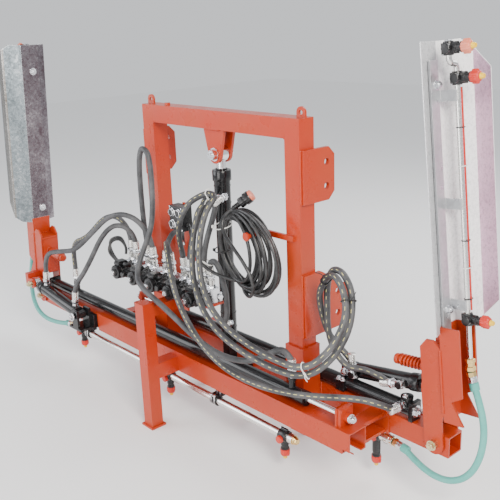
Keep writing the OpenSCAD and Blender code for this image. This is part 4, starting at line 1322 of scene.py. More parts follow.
@dataclass
class HoseRun:
    """One flexible line between two fittings of the machine."""

    name: str
    route: str
    bodies: tuple[Body, Body]
    far: Body
    diameter: float = 16.0
    kind: Ends = Ends.STRAIGHT
    blend: tuple[Point, Point] | None = None
    slot: Slot = Slot.HOSE
    ink: bool = False
    points: list[Vector] = field(default_factory=list)

    def build(self, looks: Finishes) -> float:
        """Args:
            looks: The machine's finishes.

        Returns:
            The hose's length in metres.
        """
        self.points = smooth_route([at(*p) for p in ROUTES[self.route]], HOSE_STEPS)
        cover = looks.green if self.kind is Ends.SPRAY else looks.hose
        shape = Shape()
        shape.sweep(self.points, self.diameter / 2, cover, 18)
        home = self.bodies[0] if self.blend is None else None
        piece = shape.make(self.name, home, self.slot, ())
        self.bend(piece)
        ends = [self.end_fitting(looks, 0), self.end_fitting(looks, 1)]
        if self.ink:
            ends.append(self.print_marks(looks))
        length = path_length(self.points)
        tuple(self.points[0])
        [tuple(p) for p in self.points]
        log.info("%s is %.3f m long", self.name, length)
        return length

    def end_fitting(self, looks: Finishes, end: int) -> Object:
        """The crimped ferrule and nut at one end of the hose.

        Args:
            looks: The machine's finishes.
            end: 0 for the first end, 1 for the far one.

        Returns:
            The fitting.
        """
        tip = self.points[0] if end == 0 else self.points[-1]
        inner = self.points[2] if end == 0 else self.points[-3]
        way = (inner - tip).normalized()
        shape = Shape()
        r = self.diameter / 2
        if self.kind is Ends.SPRAY:
            shape.lathe([(r - 1, 0), (r + 3, 0.5), (r + 3, 10), (r + 1.5, 11)], tip, way,
                        looks.brass, 6)
            shape.lathe([(r - 1, 10), (r + 2.2, 11), (r + 2.6, 16), (r + 2.2, 17.5),
                         (r + 2.6, 19), (r + 2.6, 24), (r + 0.6, 26)], tip, way, looks.zinc_small)
            shape.lathe([(r + 0.4, 25), (r + 3, 26), (r + 3, 43), (r + 0.4, 45)], tip, way,
                        looks.green)
        else:
            shape.lathe([(r - 1, -1), (r + 4.2, -0.6), (r + 4.8, 0.4), (r + 4.8, 9),
                         (r + 4.0, 10)], tip, way, looks.zinc_small, 6)
            ribs = [(r - 1.0, 9), (r + 1.2, 10)]
            for i in range(6):
                z = 12 + 3.6 * i
                ribs += [(r + 2.4, z), (r + 2.4, z + 2.0), (r + 1.7, z + 2.5), (r + 1.7, z + 3.2)]
            ribs += [(r + 2.4, 34), (r + 2.2, 36), (r + 0.4, 36.6)]
            shape.lathe(ribs, tip, way, looks.ferrule)
        body = self.bodies[0] if end == 0 else self.far
        return shape.make(f"{self.name}_end_{end + 1}", body, Slot.STEEL)

    def print_marks(self, looks: Finishes) -> Object:
        """Printed dashes down the side of the hose, over its whole length.

        Args:
            looks: The machine's finishes.

        Returns:
            The dashes' object.
        """
        places, ups, ways = [], [], []
        for i in range(11, len(self.points) - 10, 3):
            way = (self.points[i + 1] - self.points[i - 1]).normalized()
            up = Vector((0.42, -0.82, 0.38))
            up = (up - way * up.dot(way)).normalized()
            places.append(self.points[i] + up * self.diameter / 2000)
            ups.append(up)
            ways.append(way)
        data = point_mesh(self.name + "_ink", places, ups, along=ways)
        home = self.bodies[0] if self.blend is None else None
        marks = InkDashes(looks.ink).run(self.name + "_print", data, home, self.slot)
        self.bend(marks)
        return marks

    def bend(self, piece: Object) -> None:
        """Bakes a piece's placement into its mesh when the hose crosses a joint.

        Args:
            piece: The piece's object.
        """
        if self.blend is not None:
            at(*self.blend[0])
            at(*self.blend[1])
            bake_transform(piece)


@dataclass(frozen=True)
class BundleTie:
    """A narrow strap round two hoses that run side by side."""

    first: str
    second: str
    share: float
    white: bool = True

    def build(self, looks: Finishes, runs: dict[str, HoseRun]) -> None:
        """Makes the strap where the two hoses are close, or leaves it out.

        Args:
            looks: The machine's finishes.
            runs: Every hose by name.
        """
        a, b = runs[self.first], runs[self.second]
        i = int(self.share * (len(a.points) - 3)) + 1
        p = a.points[i]
        q = min(b.points, key=lambda point: (point - p).length)
        gap = (q - p).length
        if gap > TIE_REACH:
            log.info("no strap at %.2f of %s: gap %.3f m", self.share, a.name, gap)
            return
        way = (a.points[i + 1] - a.points[i - 1]).normalized()
        u = ((q - p) - way * (q - p).dot(way)).normalized()
        v = way.cross(u)
        ring = []
        for k in range(33):
            angle = 2 * math.pi * k / 32
            c, s = math.cos(angle), math.sin(angle)
            ring.append((p + q) / 2 + u * (gap / 2 * math.copysign(min(1.0, abs(c) * 3), c)
                                           + 0.0098 * c) + v * 0.0098 * s)
        shape = Shape()
        finish = looks.tie if self.white else looks.plastic
        shape.sweep(ring, 1.5, finish, 8)
        head = ring[24]
        shape.sweep([head - u * 0.004, head + u * 0.004], 2.6, finish, 8)
        shape.sweep([head, head - v * 0.012 + way * 0.004, head - v * 0.022 + way * 0.012],
                    1.1, finish, 8)
        home = a.bodies[0] if a.blend is None else None
        strap = shape.make(f"strap_{a.name}_{int(self.share * 100)}", home, Slot.PLASTIC)
        a.bend(strap)


@dataclass
class Plumbing:
    """Every hose of the machine."""

    runs: list[HoseRun] = field(default_factory=lambda: [
        HoseRun("lift_hose_up", "lift_hose_a", (Body.CARRIAGE, Body.CARRIAGE), Body.CARRIAGE),
        HoseRun("lift_hose_down", "lift_hose_b", (Body.CARRIAGE, Body.CARRIAGE), Body.CARRIAGE),
        HoseRun("left_feed_hose_out", "feed_left_a", (Body.CARRIAGE, Body.LEFT_BOOM),
                Body.LEFT_BOOM, blend=((-430, 40, 500), (-700, 40, 500))),
        HoseRun("left_feed_hose_back", "feed_left_b", (Body.CARRIAGE, Body.LEFT_BOOM),
                Body.LEFT_BOOM, blend=((-200, 0, 400), (280, 0, 400))),
        HoseRun("left_tilt_hose_near", "tilt_left_a", (Body.CARRIAGE, Body.LEFT_BOOM),
                Body.LEFT_CYLINDER, blend=((-380, 0, 400), (-600, 0, 400))),
        HoseRun("left_tilt_hose_far", "tilt_left_b", (Body.CARRIAGE, Body.LEFT_BOOM),
                Body.LEFT_CYLINDER, blend=((-330, 0, 400), (-780, 0, 400))),
        HoseRun("right_tilt_hose_near", "tilt_right_a", (Body.CARRIAGE, Body.RIGHT_BOOM),
                Body.RIGHT_CYLINDER, blend=((40, 0, 400), (380, 0, 400))),
        HoseRun("right_tilt_hose_far", "tilt_right_b", (Body.CARRIAGE, Body.RIGHT_BOOM),
                Body.RIGHT_CYLINDER, blend=((40, 0, 400), (380, 0, 400))),
        HoseRun("right_feed_hose_out", "feed_right_a", (Body.CARRIAGE, Body.RIGHT_BOOM),
                Body.RIGHT_BOOM, blend=((-60, 0, 400), (540, 0, 400))),
        HoseRun("right_feed_hose_back", "feed_right_b", (Body.CARRIAGE, Body.RIGHT_BOOM),
                Body.RIGHT_BOOM, blend=((-215, 130, 400), (-350, 130, 400))),
        HoseRun("left_green_hose", "green_left", (Body.LEFT_BOOM, Body.LEFT_ARM),
                Body.LEFT_ARM, kind=Ends.SPRAY, slot=Slot.SPRAY_HOSE,
                blend=((-860, 0, 90), (-1040, 0, 260))),
        HoseRun("right_green_hose", "green_right", (Body.RIGHT_BOOM, Body.RIGHT_ARM),
                Body.RIGHT_ARM, kind=Ends.SPRAY, slot=Slot.SPRAY_HOSE,
                blend=((640, 0, 90), (780, 0, 260))),
    ])

    def build(self, looks: Finishes) -> None:
        """Makes every hose and the ties that bundle them.

        Args:
            looks: The machine's finishes.
        """
        inked = {"left_feed_hose_out", "right_tilt_hose_near", "right_tilt_hose_far",
                 "right_feed_hose_out"}
        for run in self.runs:
            run.ink = run.name in inked
            run.build(looks)
        runs = {run.name: run for run in self.runs}
        near, far = "right_tilt_hose_near", "right_tilt_hose_far"
        ties = [BundleTie(near, far, 0.20), BundleTie(near, far, 0.33, False),
                BundleTie(near, far, 0.46), BundleTie(near, far, 0.60),
                BundleTie(near, far, 0.72, False), BundleTie(near, far, 0.80, False),
                BundleTie("left_tilt_hose_near", "left_tilt_hose_far", 0.4),
                BundleTie("lift_hose_up", "lift_hose_down", 0.2),
                BundleTie("right_feed_hose_out", "left_feed_hose_back", 0.5)]
        for tie in ties:
            tie.build(looks, runs)
        groups = {"lift_hoses": "lift_hose_up", "left_hoses": "left_feed_hose_out",
                  "right_hoses": "right_tilt_hose_near",
                  "left_spray_hose": "left_green_hose", "right_spray_hose": "right_green_hose"}
        for node, piece in groups.items():
            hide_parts(node)


@dataclass
class ControlCable:
    """The control lead: from the socket block to a coil on the post's peg and its plug."""

    turns: int = 12
    diameter: float = 9.5

    def loop(self, turn: float) -> tuple[float, float, float]:
        """Half width, half height and depth of the hank after some turns.

        Args:
            turn: Turns since the hank's start.

        Returns:
            Half width, half height and distance behind the rail's face, in millimetres.
        """
        share = turn / self.turns
        wide = 57 + 50 * share + 2.5 * math.sin(5.1 * turn)
        high = 84 + 7 * math.sin(2.3 * turn + 0.6) * (1 - share) + 26 * share
        deep = 40 + 28 * (0.5 + 0.5 * math.sin(2.1 * turn))
        return wide, high, deep

    def route(self) -> list[Vector]:
        """The lead's centre line, from the block through the hank to the plug.

        Returns:
            The line's points.
        """
        coil = []
        start = math.radians(232)
        for i in range(6, self.turns * 44 + 1):
            turn = i / 44
            wide, high, deep = self.loop(turn)
            angle = start + 2 * math.pi * turn
            x = 46 + 3 * math.sin(1.7 * turn) + wide * (1 + math.cos(angle))
            lean = 0.42 * (math.sin(angle) - 1) * wide * 0.5
            y = deep + 4 * math.sin(angle + 2.0 * turn)
            coil.append(at(x - lean, y, 560 + high * math.sin(angle)))
        out = [at(*p) for p in ((-97.5, 61, 582), (-84, 56.5, 577.5), (-64, 45, 565),
                                (-38, 28, 546), (-8, 16, 524), (24, 14, 502), (60, 24, 485),
                                (98, 40, 475))]
        lead = smooth_route(out + [coil[0], coil[3]], 5)[:len(out) * 5]
        tail = [at(*p) for p in ((160, 40, 452), (192, 28, 451), (216, 18, 474), (216, 14, 509),
                                 (192, 12, 544), (156, 12, 576), (122, 14, 604), (104, 20, 630),
                                 (106, 34, 654), (122, 50, 672))]
        home = smooth_route([coil[-3], coil[-1]] + tail, 5)[6:]
        return lead + coil + home

    def build(self, looks: Finishes) -> None:
        """Makes the lead, its plug, its grommet and the ties round the coil.

        Args:
            looks: The machine's finishes.
        """
        points = self.route()
        shape = Shape()
        shape.sweep(points, self.diameter / 2, looks.cable, 12)
        lead = shape.make("control_lead", None, Slot.CABLE)
        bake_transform(lead)
        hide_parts("cable_coil")
        plug = self.plug(looks, points[-1], (points[-1] - points[-4]).normalized())
        grommet = Shape()
        grommet.lathe([(6.0, -2), (7.5, -1), (7.5, 2), (6, 3), (6.8, 4), (5.8, 6), (6.6, 7),
                       (5.4, 9), (5.2, 12)], points[0], at(-84, 56, 578) - points[0],
                      looks.plastic, 20)
        boot = grommet.make("lead_boot", Body.CARRIAGE, Slot.PLASTIC)
        ties = self.ties(looks)
        length = path_length(points)
        tuple(points[0])
        [tuple(p) for p in points]
        log.info("control lead is %.3f m long", length)

    def plug(self, looks: Finishes, tip: Vector, way: Vector) -> Object:
        """The connector on the lead's end: ribbed boot, ringed shell, orange seal.

        Args:
            looks: The machine's finishes.
            tip: The plug's place.
            way: The plug's axis.

        Returns:
            The plug's object.
        """
        shape = Shape()
        boot = [(5.2, -6), (6.6, -4)]
        for i in range(5):
            boot += [(7.4, -3 + 4 * i), (7.4, -1 + 4 * i), (6.4, -0.4 + 4 * i), (6.4, 0.6 + 4 * i)]
        shape.lathe(boot + [(8.5, 18)], tip, way, looks.plastic, 24)
        shell = [(8, 16), (13, 17), (14, 19), (14, 30), (12.5, 31), (12.5, 33), (16, 34),
                 (16.5, 36), (16.5, 48), (15.5, 50), (13, 50.5)]
        shape.lathe(shell, tip, way, looks.plastic, 48, 0.8, 16)
        shape.lathe([(12, 49), (14.6, 50), (14.6, 56), (13.6, 57.5), (11, 57.6)], tip, way,
                    looks.coral, 32)
        return shape.make("lead_plug", Body.PORTAL, Slot.PLASTIC, ("cable_plug",))

    def ties(self, looks: Finishes) -> Object:
        """Two narrow straps that hold the hank's gathered side.

        Args:
            looks: The machine's finishes.

        Returns:
            The straps' object.
        """
        shape = Shape()
        for z, tie in ((612, looks.tie), (548, looks.plastic)):
            ring = []
            for i in range(33):
                a = 2 * math.pi * i / 32
                ring.append(at(62 + 24 * math.cos(a), 56 + 25.5 * math.sin(a),
                               z + 5 * math.sin(a)))
            shape.sweep(ring, 1.6, tie, 8)
            head = at(46, 36, z - 2)
            size = Vector((0.0035, 0.003, 0.004))
            shape.block(head - size, head + size, tie, 0.8)
        return shape.make("hank_ties", Body.PORTAL, Slot.CABLE)


# ---- spray line


@dataclass(frozen=True)
class Nozzle:
    """A clip-on nozzle: ring clamp, body, side valve, fluted cap and tip."""

    centre: Vector
    pipe: Vector
    way: Vector
    side: Vector
    reach: float
    bore: float = 11.0
    stub: float = 1.0

    def body(self, shape: Shape, looks: Finishes) -> None:
        """Adds the black parts.

        Args:
            shape: The shape to add to.
            looks: The machine's finishes.
        """
        r = self.bore
        o = self.centre - self.pipe * 0.014
        shape.lathe([(r + 0.3, 0), (r + 3.8, 0.3), (r + 4.5, 1.5), (r + 4.5, 26.5),
                     (r + 3.8, 27.7), (r + 0.3, 28)], o, self.pipe, looks.plastic, 36)
        hinge = self.centre - self.way * (r + 6.5) / 1000 - self.pipe * 0.011
        shape.lathe([(3.6, 0), (4.2, 0.6), (4.2, 21.4), (3.6, 22)], hinge, self.pipe,
                    looks.plastic, 18)
        shape.lathe([(2, -2.5), (3.2, -2), (3.2, 0), (1.5, 0.5)], hinge, self.pipe,
                    looks.zinc_small, 6)
        shape.lathe([(10.5, r - 3), (10.5, self.reach - 12), (9, self.reach - 11),
                     (9, self.reach - 5), (11, self.reach - 4), (11, self.reach + 1)],
                    self.centre, self.way, looks.plastic, 32)
        for s in (-1, 1):
            rib = self.centre + self.pipe * s * 0.0105 + self.way * (r + 2) / 1000
            high = self.reach - r
            shape.lathe([(1.4, 0), (1.6, 1), (1.6, high - 12), (1.0, high - 11)],
                        rib, self.way, looks.plastic, 10)
        start = self.centre + self.way * 0.004
        valve = [(7, -4), (9, -3), (9, 5), (10.2, 5.6), (10.2, 12), (9.2, 13.2), (6, 13.6)]
        shape.lathe([(w, r + h * self.stub) for w, h in valve], start, self.side,
                    looks.cap if r > 8 else looks.plastic, 48, 0.5, 18)

    def cap(self, shape: Shape, looks: Finishes, cap: Material) -> None:
        """Adds the coloured cap and the tip.

        Args:
            shape: The shape to add to.
            looks: The machine's finishes.
            cap: The cap's finish.
        """
        o = self.centre + self.way * self.reach / 1000
        shape.lathe([(10.5, 0), (12.6, 0.6), (13, 2), (13, 12.5), (12.4, 15), (10.4, 18.5),
                     (8.4, 19.6), (6, 20)], o, self.way, cap, 72, 1.1, 12)
        for s in (-1, 1):
            ear = o + self.pipe * s * 0.0118
            shape.lathe([(2.6, 1.5), (3.2, 2.2), (3.2, 14.5), (2.4, 16)], ear, self.way, cap, 14)
        shape.lathe([(6.4, 19), (6.6, 22), (5.6, 23), (5.4, 26.5), (4.4, 28), (2.2, 28),
                     (1.6, 26.8)], o, self.way, looks.tip, 24)


@dataclass
class SprayLine:
    """The two long pipes under the booms with their hanging nozzles."""

    front: Sequence[float] = (-682, -172, 322)
    rear: Sequence[float] = (-360, 60, 505)

    def build(self, looks: Finishes) -> None:
        """Makes the nozzles and the pipe end fittings.

        Args:
            looks: The machine's finishes.
        """
        sets = (
            ("front", Body.LEFT_BOOM, self.front, *FRONT_PIPE, 38, 1.0),
            ("rear", Body.RIGHT_BOOM, self.rear, *REAR_PIPE, 62, 0.45),
        )
        for name, body, xs, y, z, reach, stub in sets:
            bodies, caps = Shape(), Shape()
            for x in xs:
                nozzle = Nozzle(at(x, y, z), OUT, -UP, NEAR, reach, stub=stub)
                nozzle.body(bodies, looks)
                nozzle.cap(caps, looks, looks.cap)
            bodies.make(f"{name}_nozzle_bodies", body, Slot.PLASTIC, (f"{name}_nozzles",))
            caps.make(f"{name}_nozzle_caps", body, Slot.RED, (f"{name}_caps",))
        self.pipe_ends(looks)

    def pipe_ends(self, looks: Finishes) -> None:
        """Adds the unions and plugs on the pipe ends.

        Args:
            looks: The machine's finishes.
        """
        ends = (
            ("front", Body.LEFT_BOOM, (-728, 14, 108), (-750, 14, 108), (356, 14, 108), 1),
            ("rear", Body.RIGHT_BOOM, (536, 158, 128), (558, 158, 128), (-430, 158, 128), -1),
        )
        for name, body, inner, outer, plug, way in ends:
            shape = Shape()
            axis = at(*outer) - at(*inner)
            shape.lathe([(11.2, -4), (13.6, -3), (13.6, 8), (12.4, 9)], at(*inner), axis,
                        looks.brass, 6)
            shape.lathe([(10, 8), (11, 9), (11, 14), (12.8, 14.6), (12.8, 21.5), (9, 22)],
                        at(*inner), axis, looks.brass, 6)
            shape.lathe([(11.2, -15), (13.0, -14), (13.0, -1), (12.4, 0), (10.6, 0.2), (10.6, 6),
                         (9.6, 7)], at(*plug), OUT * way, looks.brass, 24)
            shape.lathe([(6, 5), (8.6, 6), (8.6, 12), (7.6, 13)], at(*plug), OUT * way,
                        looks.brass, 6)
            shape.make(f"{name}_pipe_fittings", body, Slot.STEEL)


# ---- arms


@dataclass
class Arm:
    """Everything dressed on one tilting arm."""

    side: int
    nozzle_places: Sequence[Point] = ((12, 304), (12, 820), (-14, 880))
    riser_x: float = 78.0

    @property
    def name(self) -> str:
        """The arm's name."""
        return "right" if self.side > 0 else "left"

    @property
    def body(self) -> Body:
        """The body the arm's pieces ride on."""
        return Body.RIGHT_ARM if self.side > 0 else Body.LEFT_ARM

    def p(self, x: float, y: float, z: float) -> Vector:
        """A point in the arm's own directions."""
        return arm_point(self.side, x, y, z)

    def d(self, x: float, y: float, z: float) -> Vector:
        """A direction in the arm's own directions."""
        return arm_direction(self.side, x, y, z)

    def build(self, looks: Finishes) -> None:
        """Makes the arm's nozzles, riser fittings, bolts, buffer and welds.

        Args:
            looks: The machine's finishes.
        """
        self.nozzles(looks)
        self.riser(looks)
        self.bolts(looks)
        self.buffer(looks)
        self.welds(looks)

    def nozzles(self, looks: Finishes) -> None:
        """Three nozzles on the riser, the top one with a coral cap.

        Args:
            looks: The machine's finishes.
        """
        bodies, caps = Shape(), Shape()
        for i, (y, z) in enumerate(self.nozzle_places):
            nozzle = Nozzle(self.p(self.riser_x, y, z), self.d(0, 0, 1), self.d(1, 0, 0),
                            self.d(0, -1, 0), 34, 6.0)
            nozzle.body(bodies, looks)
            nozzle.cap(caps, looks, looks.coral if i == 2 else looks.cap)
        bodies.make(f"{self.name}_arm_nozzle_bodies", self.body, Slot.PLASTIC,
                    (f"{self.name}_nozzles",))
        caps.make(f"{self.name}_arm_nozzle_caps", self.body, Slot.RED, (f"{self.name}_caps",))

    def riser(self, looks: Finishes) -> None:
        """The upright feed pipe with its fittings, its bend and the thin red line.

        Args:
            looks: The machine's finishes.
        """
        x = self.riser_x
        shape = Shape()
        up = self.d(0, 0, 1)
        main = [self.p(x, 12, 196), self.p(x, 12, 500), self.p(x, 12, 832)]
        bend = [self.p(x, 12, 832), self.p(x, 11, 842), self.p(x, 7, 848), self.p(x, -2, 850),
                self.p(x, -9, 852), self.p(x, -13, 858), self.p(x, -14, 868)]
        path = main[:2] + smooth_route(bend, 4) + [self.p(x, -14, 893)]
        shape.sweep(path, 6.0, looks.steel, 24)
        shape.lathe([(6, 0), (7.4, 0.6), (7.4, 7), (5, 8)], self.p(x, -14, 889), up,
                    looks.zinc_small, 6)
        shape.lathe([(8, 184), (12, 185), (12, 194), (10.5, 195)], self.p(x, 12, 0), up,
                    looks.brass, 6)
        shape.lathe([(8, 194), (9.4, 195), (9.4, 203), (11.4, 204), (11.4, 212), (9, 213),
                     (6.4, 214)], self.p(x, 12, 0), up, looks.brass, 6)
        shape.lathe([(6.1, 824), (9, 825), (9, 829), (6.1, 830)], self.p(x, 12, 0), up,
                    looks.zinc_small, 6)
        shape.make(f"{self.name}_riser_pipe", self.body, Slot.STEEL, (f"{self.name}_riser",))
        line = Shape()
        lo = [self.p(x + 3, 20.5, z) for z in (323, 336, 430, 560, 690, 786, 801)]
        line.sweep(smooth_route(lo, 3), 2.9, looks.cap, 12)
        line.make(f"{self.name}_indicator_line", self.body, Slot.RED)
        ties = Shape()
        for z in (350, 420, 480, 640, 720):
            ring = []
            for i in range(17):
                a = 2 * math.pi * i / 16
                ring.append(self.p(x + 8.6 * math.cos(a) + 1, 15 + 10.4 * math.sin(a), z))
            ties.sweep(ring, 1.1, looks.tie if z in (420, 640) else looks.plastic, 6)
        ties.make(f"{self.name}_riser_ties", self.body, Slot.PLASTIC)

    def bolts(self, looks: Finishes) -> None:
        """Bolt heads on the shield, its strap, the mast's pivot and lug.

        Args:
            looks: The machine's finishes.
        """
        out, inn = self.d(1, 0, 0), self.d(-1, 0, 0)
        places = [(self.p(42, -8, z), out, 1.1) for z in (326, 810)]
        places += [(self.p(31.6, -8, z), inn, 1.25) for z in (326, 810)]
        places += [(self.p(45 + 7, 6.2, z + 6), self.d(0, 1, 0), 0.5) for z in (336, 560, 786)]
        bolt_set(f"{self.name}_arm_bolts", places, looks.zinc_small, self.body)
        base, lug = PIVOTS[self.side], TILT_LUGS[self.side]
        span = 23 if self.side > 0 else 27
        pins = [
            (at(base[0], base[1] - 41, base[2]), NEAR, 1.3),
            (at(base[0], base[1] + 41, base[2]), -NEAR, 1.3),
            (at(lug[0], lug[1] - span, lug[2]), NEAR, 1.15),
            (at(lug[0], lug[1] + span - 5, lug[2]), -NEAR, 1.15),
        ]
        bolt_set(f"{self.name}_pivot_bolts", pins, looks.passivated, self.body)

    def buffer(self, looks: Finishes) -> None:
        """The buffer: a bare peg on the left, a painted coil spring on the right.

        Args:
            looks: The machine's finishes.
        """
        shape = Shape()
        inn = self.d(-1, 0, 0)
        shape.lathe([(9, 0), (13, 1), (13, 22), (12, 24)], self.p(0, 0, 176), inn, looks.orange, 40)
        shape.lathe([(9.6, 20), (10, 22), (10, 104), (9, 106)], self.p(0, 0, 176), inn,
                    looks.orange, 40)
        shape.lathe([(8, 106), (12.4, 106.4), (13, 107.4), (13, 114.6), (12, 117), (8, 118)],
                    self.p(0, 0, 176), inn, looks.orange, 40)
        shape.lathe([(11, -32), (13, -31), (13, -1), (11, 0.5)], self.p(0, 0, 176), inn,
                    looks.orange, 40)
        if self.side < 0:
            turn = Matrix((self.d(0, 0, 1), self.d(0, 1, 0), self.d(-1, 0, 0))).transposed()
            place = Matrix.Translation(self.p(-20, 0, 0)) @ turn.to_4x4()
            shape.plate([(92, -27.5), (222, -27.5), (222, 27.5), (92, 27.5)], place, 4,
                        looks.orange)
            shape.lathe([(10, 40), (15.5, 44), (17, 50), (17, 100), (15.5, 106), (10, 108)],
                        self.p(0, 0, 176), inn, looks.orange, 48)
        shape.make(f"{self.name}_buffer_peg", self.body, Slot.PAINT, (f"{self.name}_buffer",))
        if self.side > 0:
            start = self.p(-25, 0, 176)
            data = point_mesh("spring_place", [start], [inn])
            CoilSpring(looks.orange).run(f"{self.name}_buffer_spring", data, self.body,
                                         Slot.PAINT)

    def welds(self, looks: Finishes) -> None:
        """Weld beads between the mast's cheeks, web and lug plates.

        Args:
            looks: The machine's finishes.
        """
        lines = []
        for y in (-33.5, 33.5):
            lines.append([self.p(31.5, y, z) for z in (88, 140, 200, 234)])
        lines.append([self.p(x, -28, 221.5) for x in (-18, 5, 28)])
        ring = []
        for i in range(17):
            a = 2 * math.pi * i / 16
            ring.append(self.p(-22.5, 13.5 * math.cos(a), 176 + 13.5 * math.sin(a)))
        lines.append(ring)
        WeldBeads(looks.orange).run(f"{self.name}_arm_welds",
                                    line_mesh(f"{self.name}_weld_lines", lines),
                                    self.body, Slot.PAINT)


# ---- hydraulics


@dataclass
class ValveBank:
    """Five solenoid valve sections on the shelf."""

    places: Sequence[float] = (-370, -280, -190, -100, -10)
    shelf: float = 378.0

    def build(self, looks: Finishes) -> None:
        """Makes the valve bodies, coils, connectors and port adapters.

        Args:
            looks: The machine's finishes.
        """
        bodies, coils = Shape(), Shape()
        z0 = self.shelf + 2
        for n, x in enumerate(self.places):
            bodies.block(at(x - 30, 34, z0), at(x + 30, 70, z0 + 44), looks.zinc_small, 1.6)
            bodies.block(at(x - 27, 30.5, z0 + 6), at(x + 27, 34.5, z0 + 38), looks.black, 1.0)
            for dx in (-14, 14):
                port = at(x + dx, 52, 0)
                bodies.lathe([(11.5, 423), (12.2, 424), (12.2, 431), (11.2, 432)], port, UP,
                             looks.zinc_small, 6)
                bodies.lathe([(9.2, 431), (9.2, 436), (11.4, 436.6), (11.4, 446), (10.4, 447),
                              (8.4, 447.4), (8.4, 451.6)], port, UP, looks.ferrule, 24)
            for dx in (-24, 24):
                for dz in (6, 38):
                    bodies.lathe([(3.2, 0), (3.4, 0.4), (3.4, 3.0), (2.8, 3.4), (1.4, 3.4)],
                                 at(x + dx, 34, z0 + dz), NEAR, looks.zinc_small, 20)
            c = at(x, 0, z0 + 23)
            coils.lathe([(19, -33.6), (21.6, -33), (22, -31), (22, 22), (21.2, 25.4),
                         (18, 26.6)], c, NEAR, looks.black, 48)
            coils.lathe([(11.4, 26), (12.4, 27), (12.4, 32), (10, 33)], c, NEAR, looks.plastic, 6)
            coils.lathe([(6, 32), (7.4, 33), (7.4, 36), (6, 37.6)], c, NEAR, looks.zinc_small, 20)
            for k in range(3):
                coils.lathe([(21.6, 0), (22.6, 0.4), (22.6, 1.8), (21.6, 2.2)],
                            at(x, 22 - 16 * k, z0 + 23), NEAR, looks.plastic, 48)
            top = z0 + 23 + 18
            coils.block(at(x - 16, -18, top), at(x + 16, 16, top + 13), looks.black, 2.4)
            coils.block(at(x - 13, -15, top + 13), at(x + 13, 13, top + 16), looks.plastic, 1.0)
            coils.block(at(x + 20, -8, z0 + 8), at(x + 46, 30, z0 + 34), looks.plastic, 3.0)
            coils.lathe([(8, 0), (9.4, 0.6), (9.4, 14), (8, 16)], at(x + 33, -7, z0 + 21), NEAR,
                        looks.black, 32)
            coils.lathe([(6, 0), (7, 0.6), (7, 8), (5.4, 10), (4, 14)],
                        at(x - 16 if n % 2 else x + 16, 0, top + 6),
                        -OUT if n % 2 else OUT, looks.plastic, 6)
        bodies.block(at(-400, 58, z0), at(20, 78, z0 + 28), looks.zinc_small, 1.4)
        for x in (-400, 20):
            s = -1 if x < 0 else 1
            bodies.lathe([(8.4, 0), (9, 0.5), (9, 5), (7.6, 6)], at(x, 68, z0 + 15),
                         OUT * s, looks.zinc_small, 6)
        bodies.make("valve_bodies", Body.CARRIAGE, Slot.ZINC, ("valve_blocks",))
        coils.make("valve_coils", Body.CARRIAGE, Slot.PLASTIC, ("solenoids",))
        self.leads(looks)

    def leads(self, looks: Finishes) -> None:
        """Thin wires looping from coil to coil, and small loops at the left end.

        Args:
            looks: The machine's finishes.
        """
        shape = Shape()
        top = self.shelf + 2 + 22 + 22
        for a, b in zip(self.places, self.places[1:]):
            mid = (a + b) / 2
            pts = [at(a + 24, 0, top), at(a + 34, 2, top + 8), at(mid, 8, top + 20),
                   at(b - 34, 2, top + 8), at(b - 24, 0, top)]
            shape.sweep(smooth_route(pts, 6), 2.6, looks.cable, 10)
        for k in range(2):
            pts = [at(-404, 24 + 10 * k, 404), at(-420, 16, 418 + 6 * k),
                   at(-448, 8 + 6 * k, 446 + 10 * k), at(-452, 22, 474 + 8 * k),
                   at(-424, 34 + 4 * k, 484 + 6 * k), at(-398, 38, 466), at(-386, 30, 446)]
            shape.sweep(smooth_route(pts, 6), 4.2, looks.cable, 12)
        shape.make("coil_wires", Body.CARRIAGE, Slot.CABLE)


@dataclass(frozen=True)
class PortFitting:
    """An adapter on a cylinder port with a hex."""

    tip: Point
    way: Point

    def add(self, shape: Shape, looks: Finishes) -> None:
        """Adds the adapter to a shape.

        Args:
            shape: The shape to add to.
            looks: The machine's finishes.
        """
        end, way = at(*self.tip), Vector(self.way).normalized()
        shape.lathe([(9.4, -20), (11.4, -19.5), (11.6, -18), (11.6, -13), (10.2, -12)], end, way,
                    looks.black, 28)
        shape.lathe([(8.6, -13), (10.8, -12.4), (10.8, -5), (9.8, -4)], end, way,
                    looks.zinc_small, 6)
        shape.lathe([(8.2, -5), (8.6, -4.6), (8.6, -0.6), (7.6, -0.3)], end, way,
                    looks.passivated, 24)


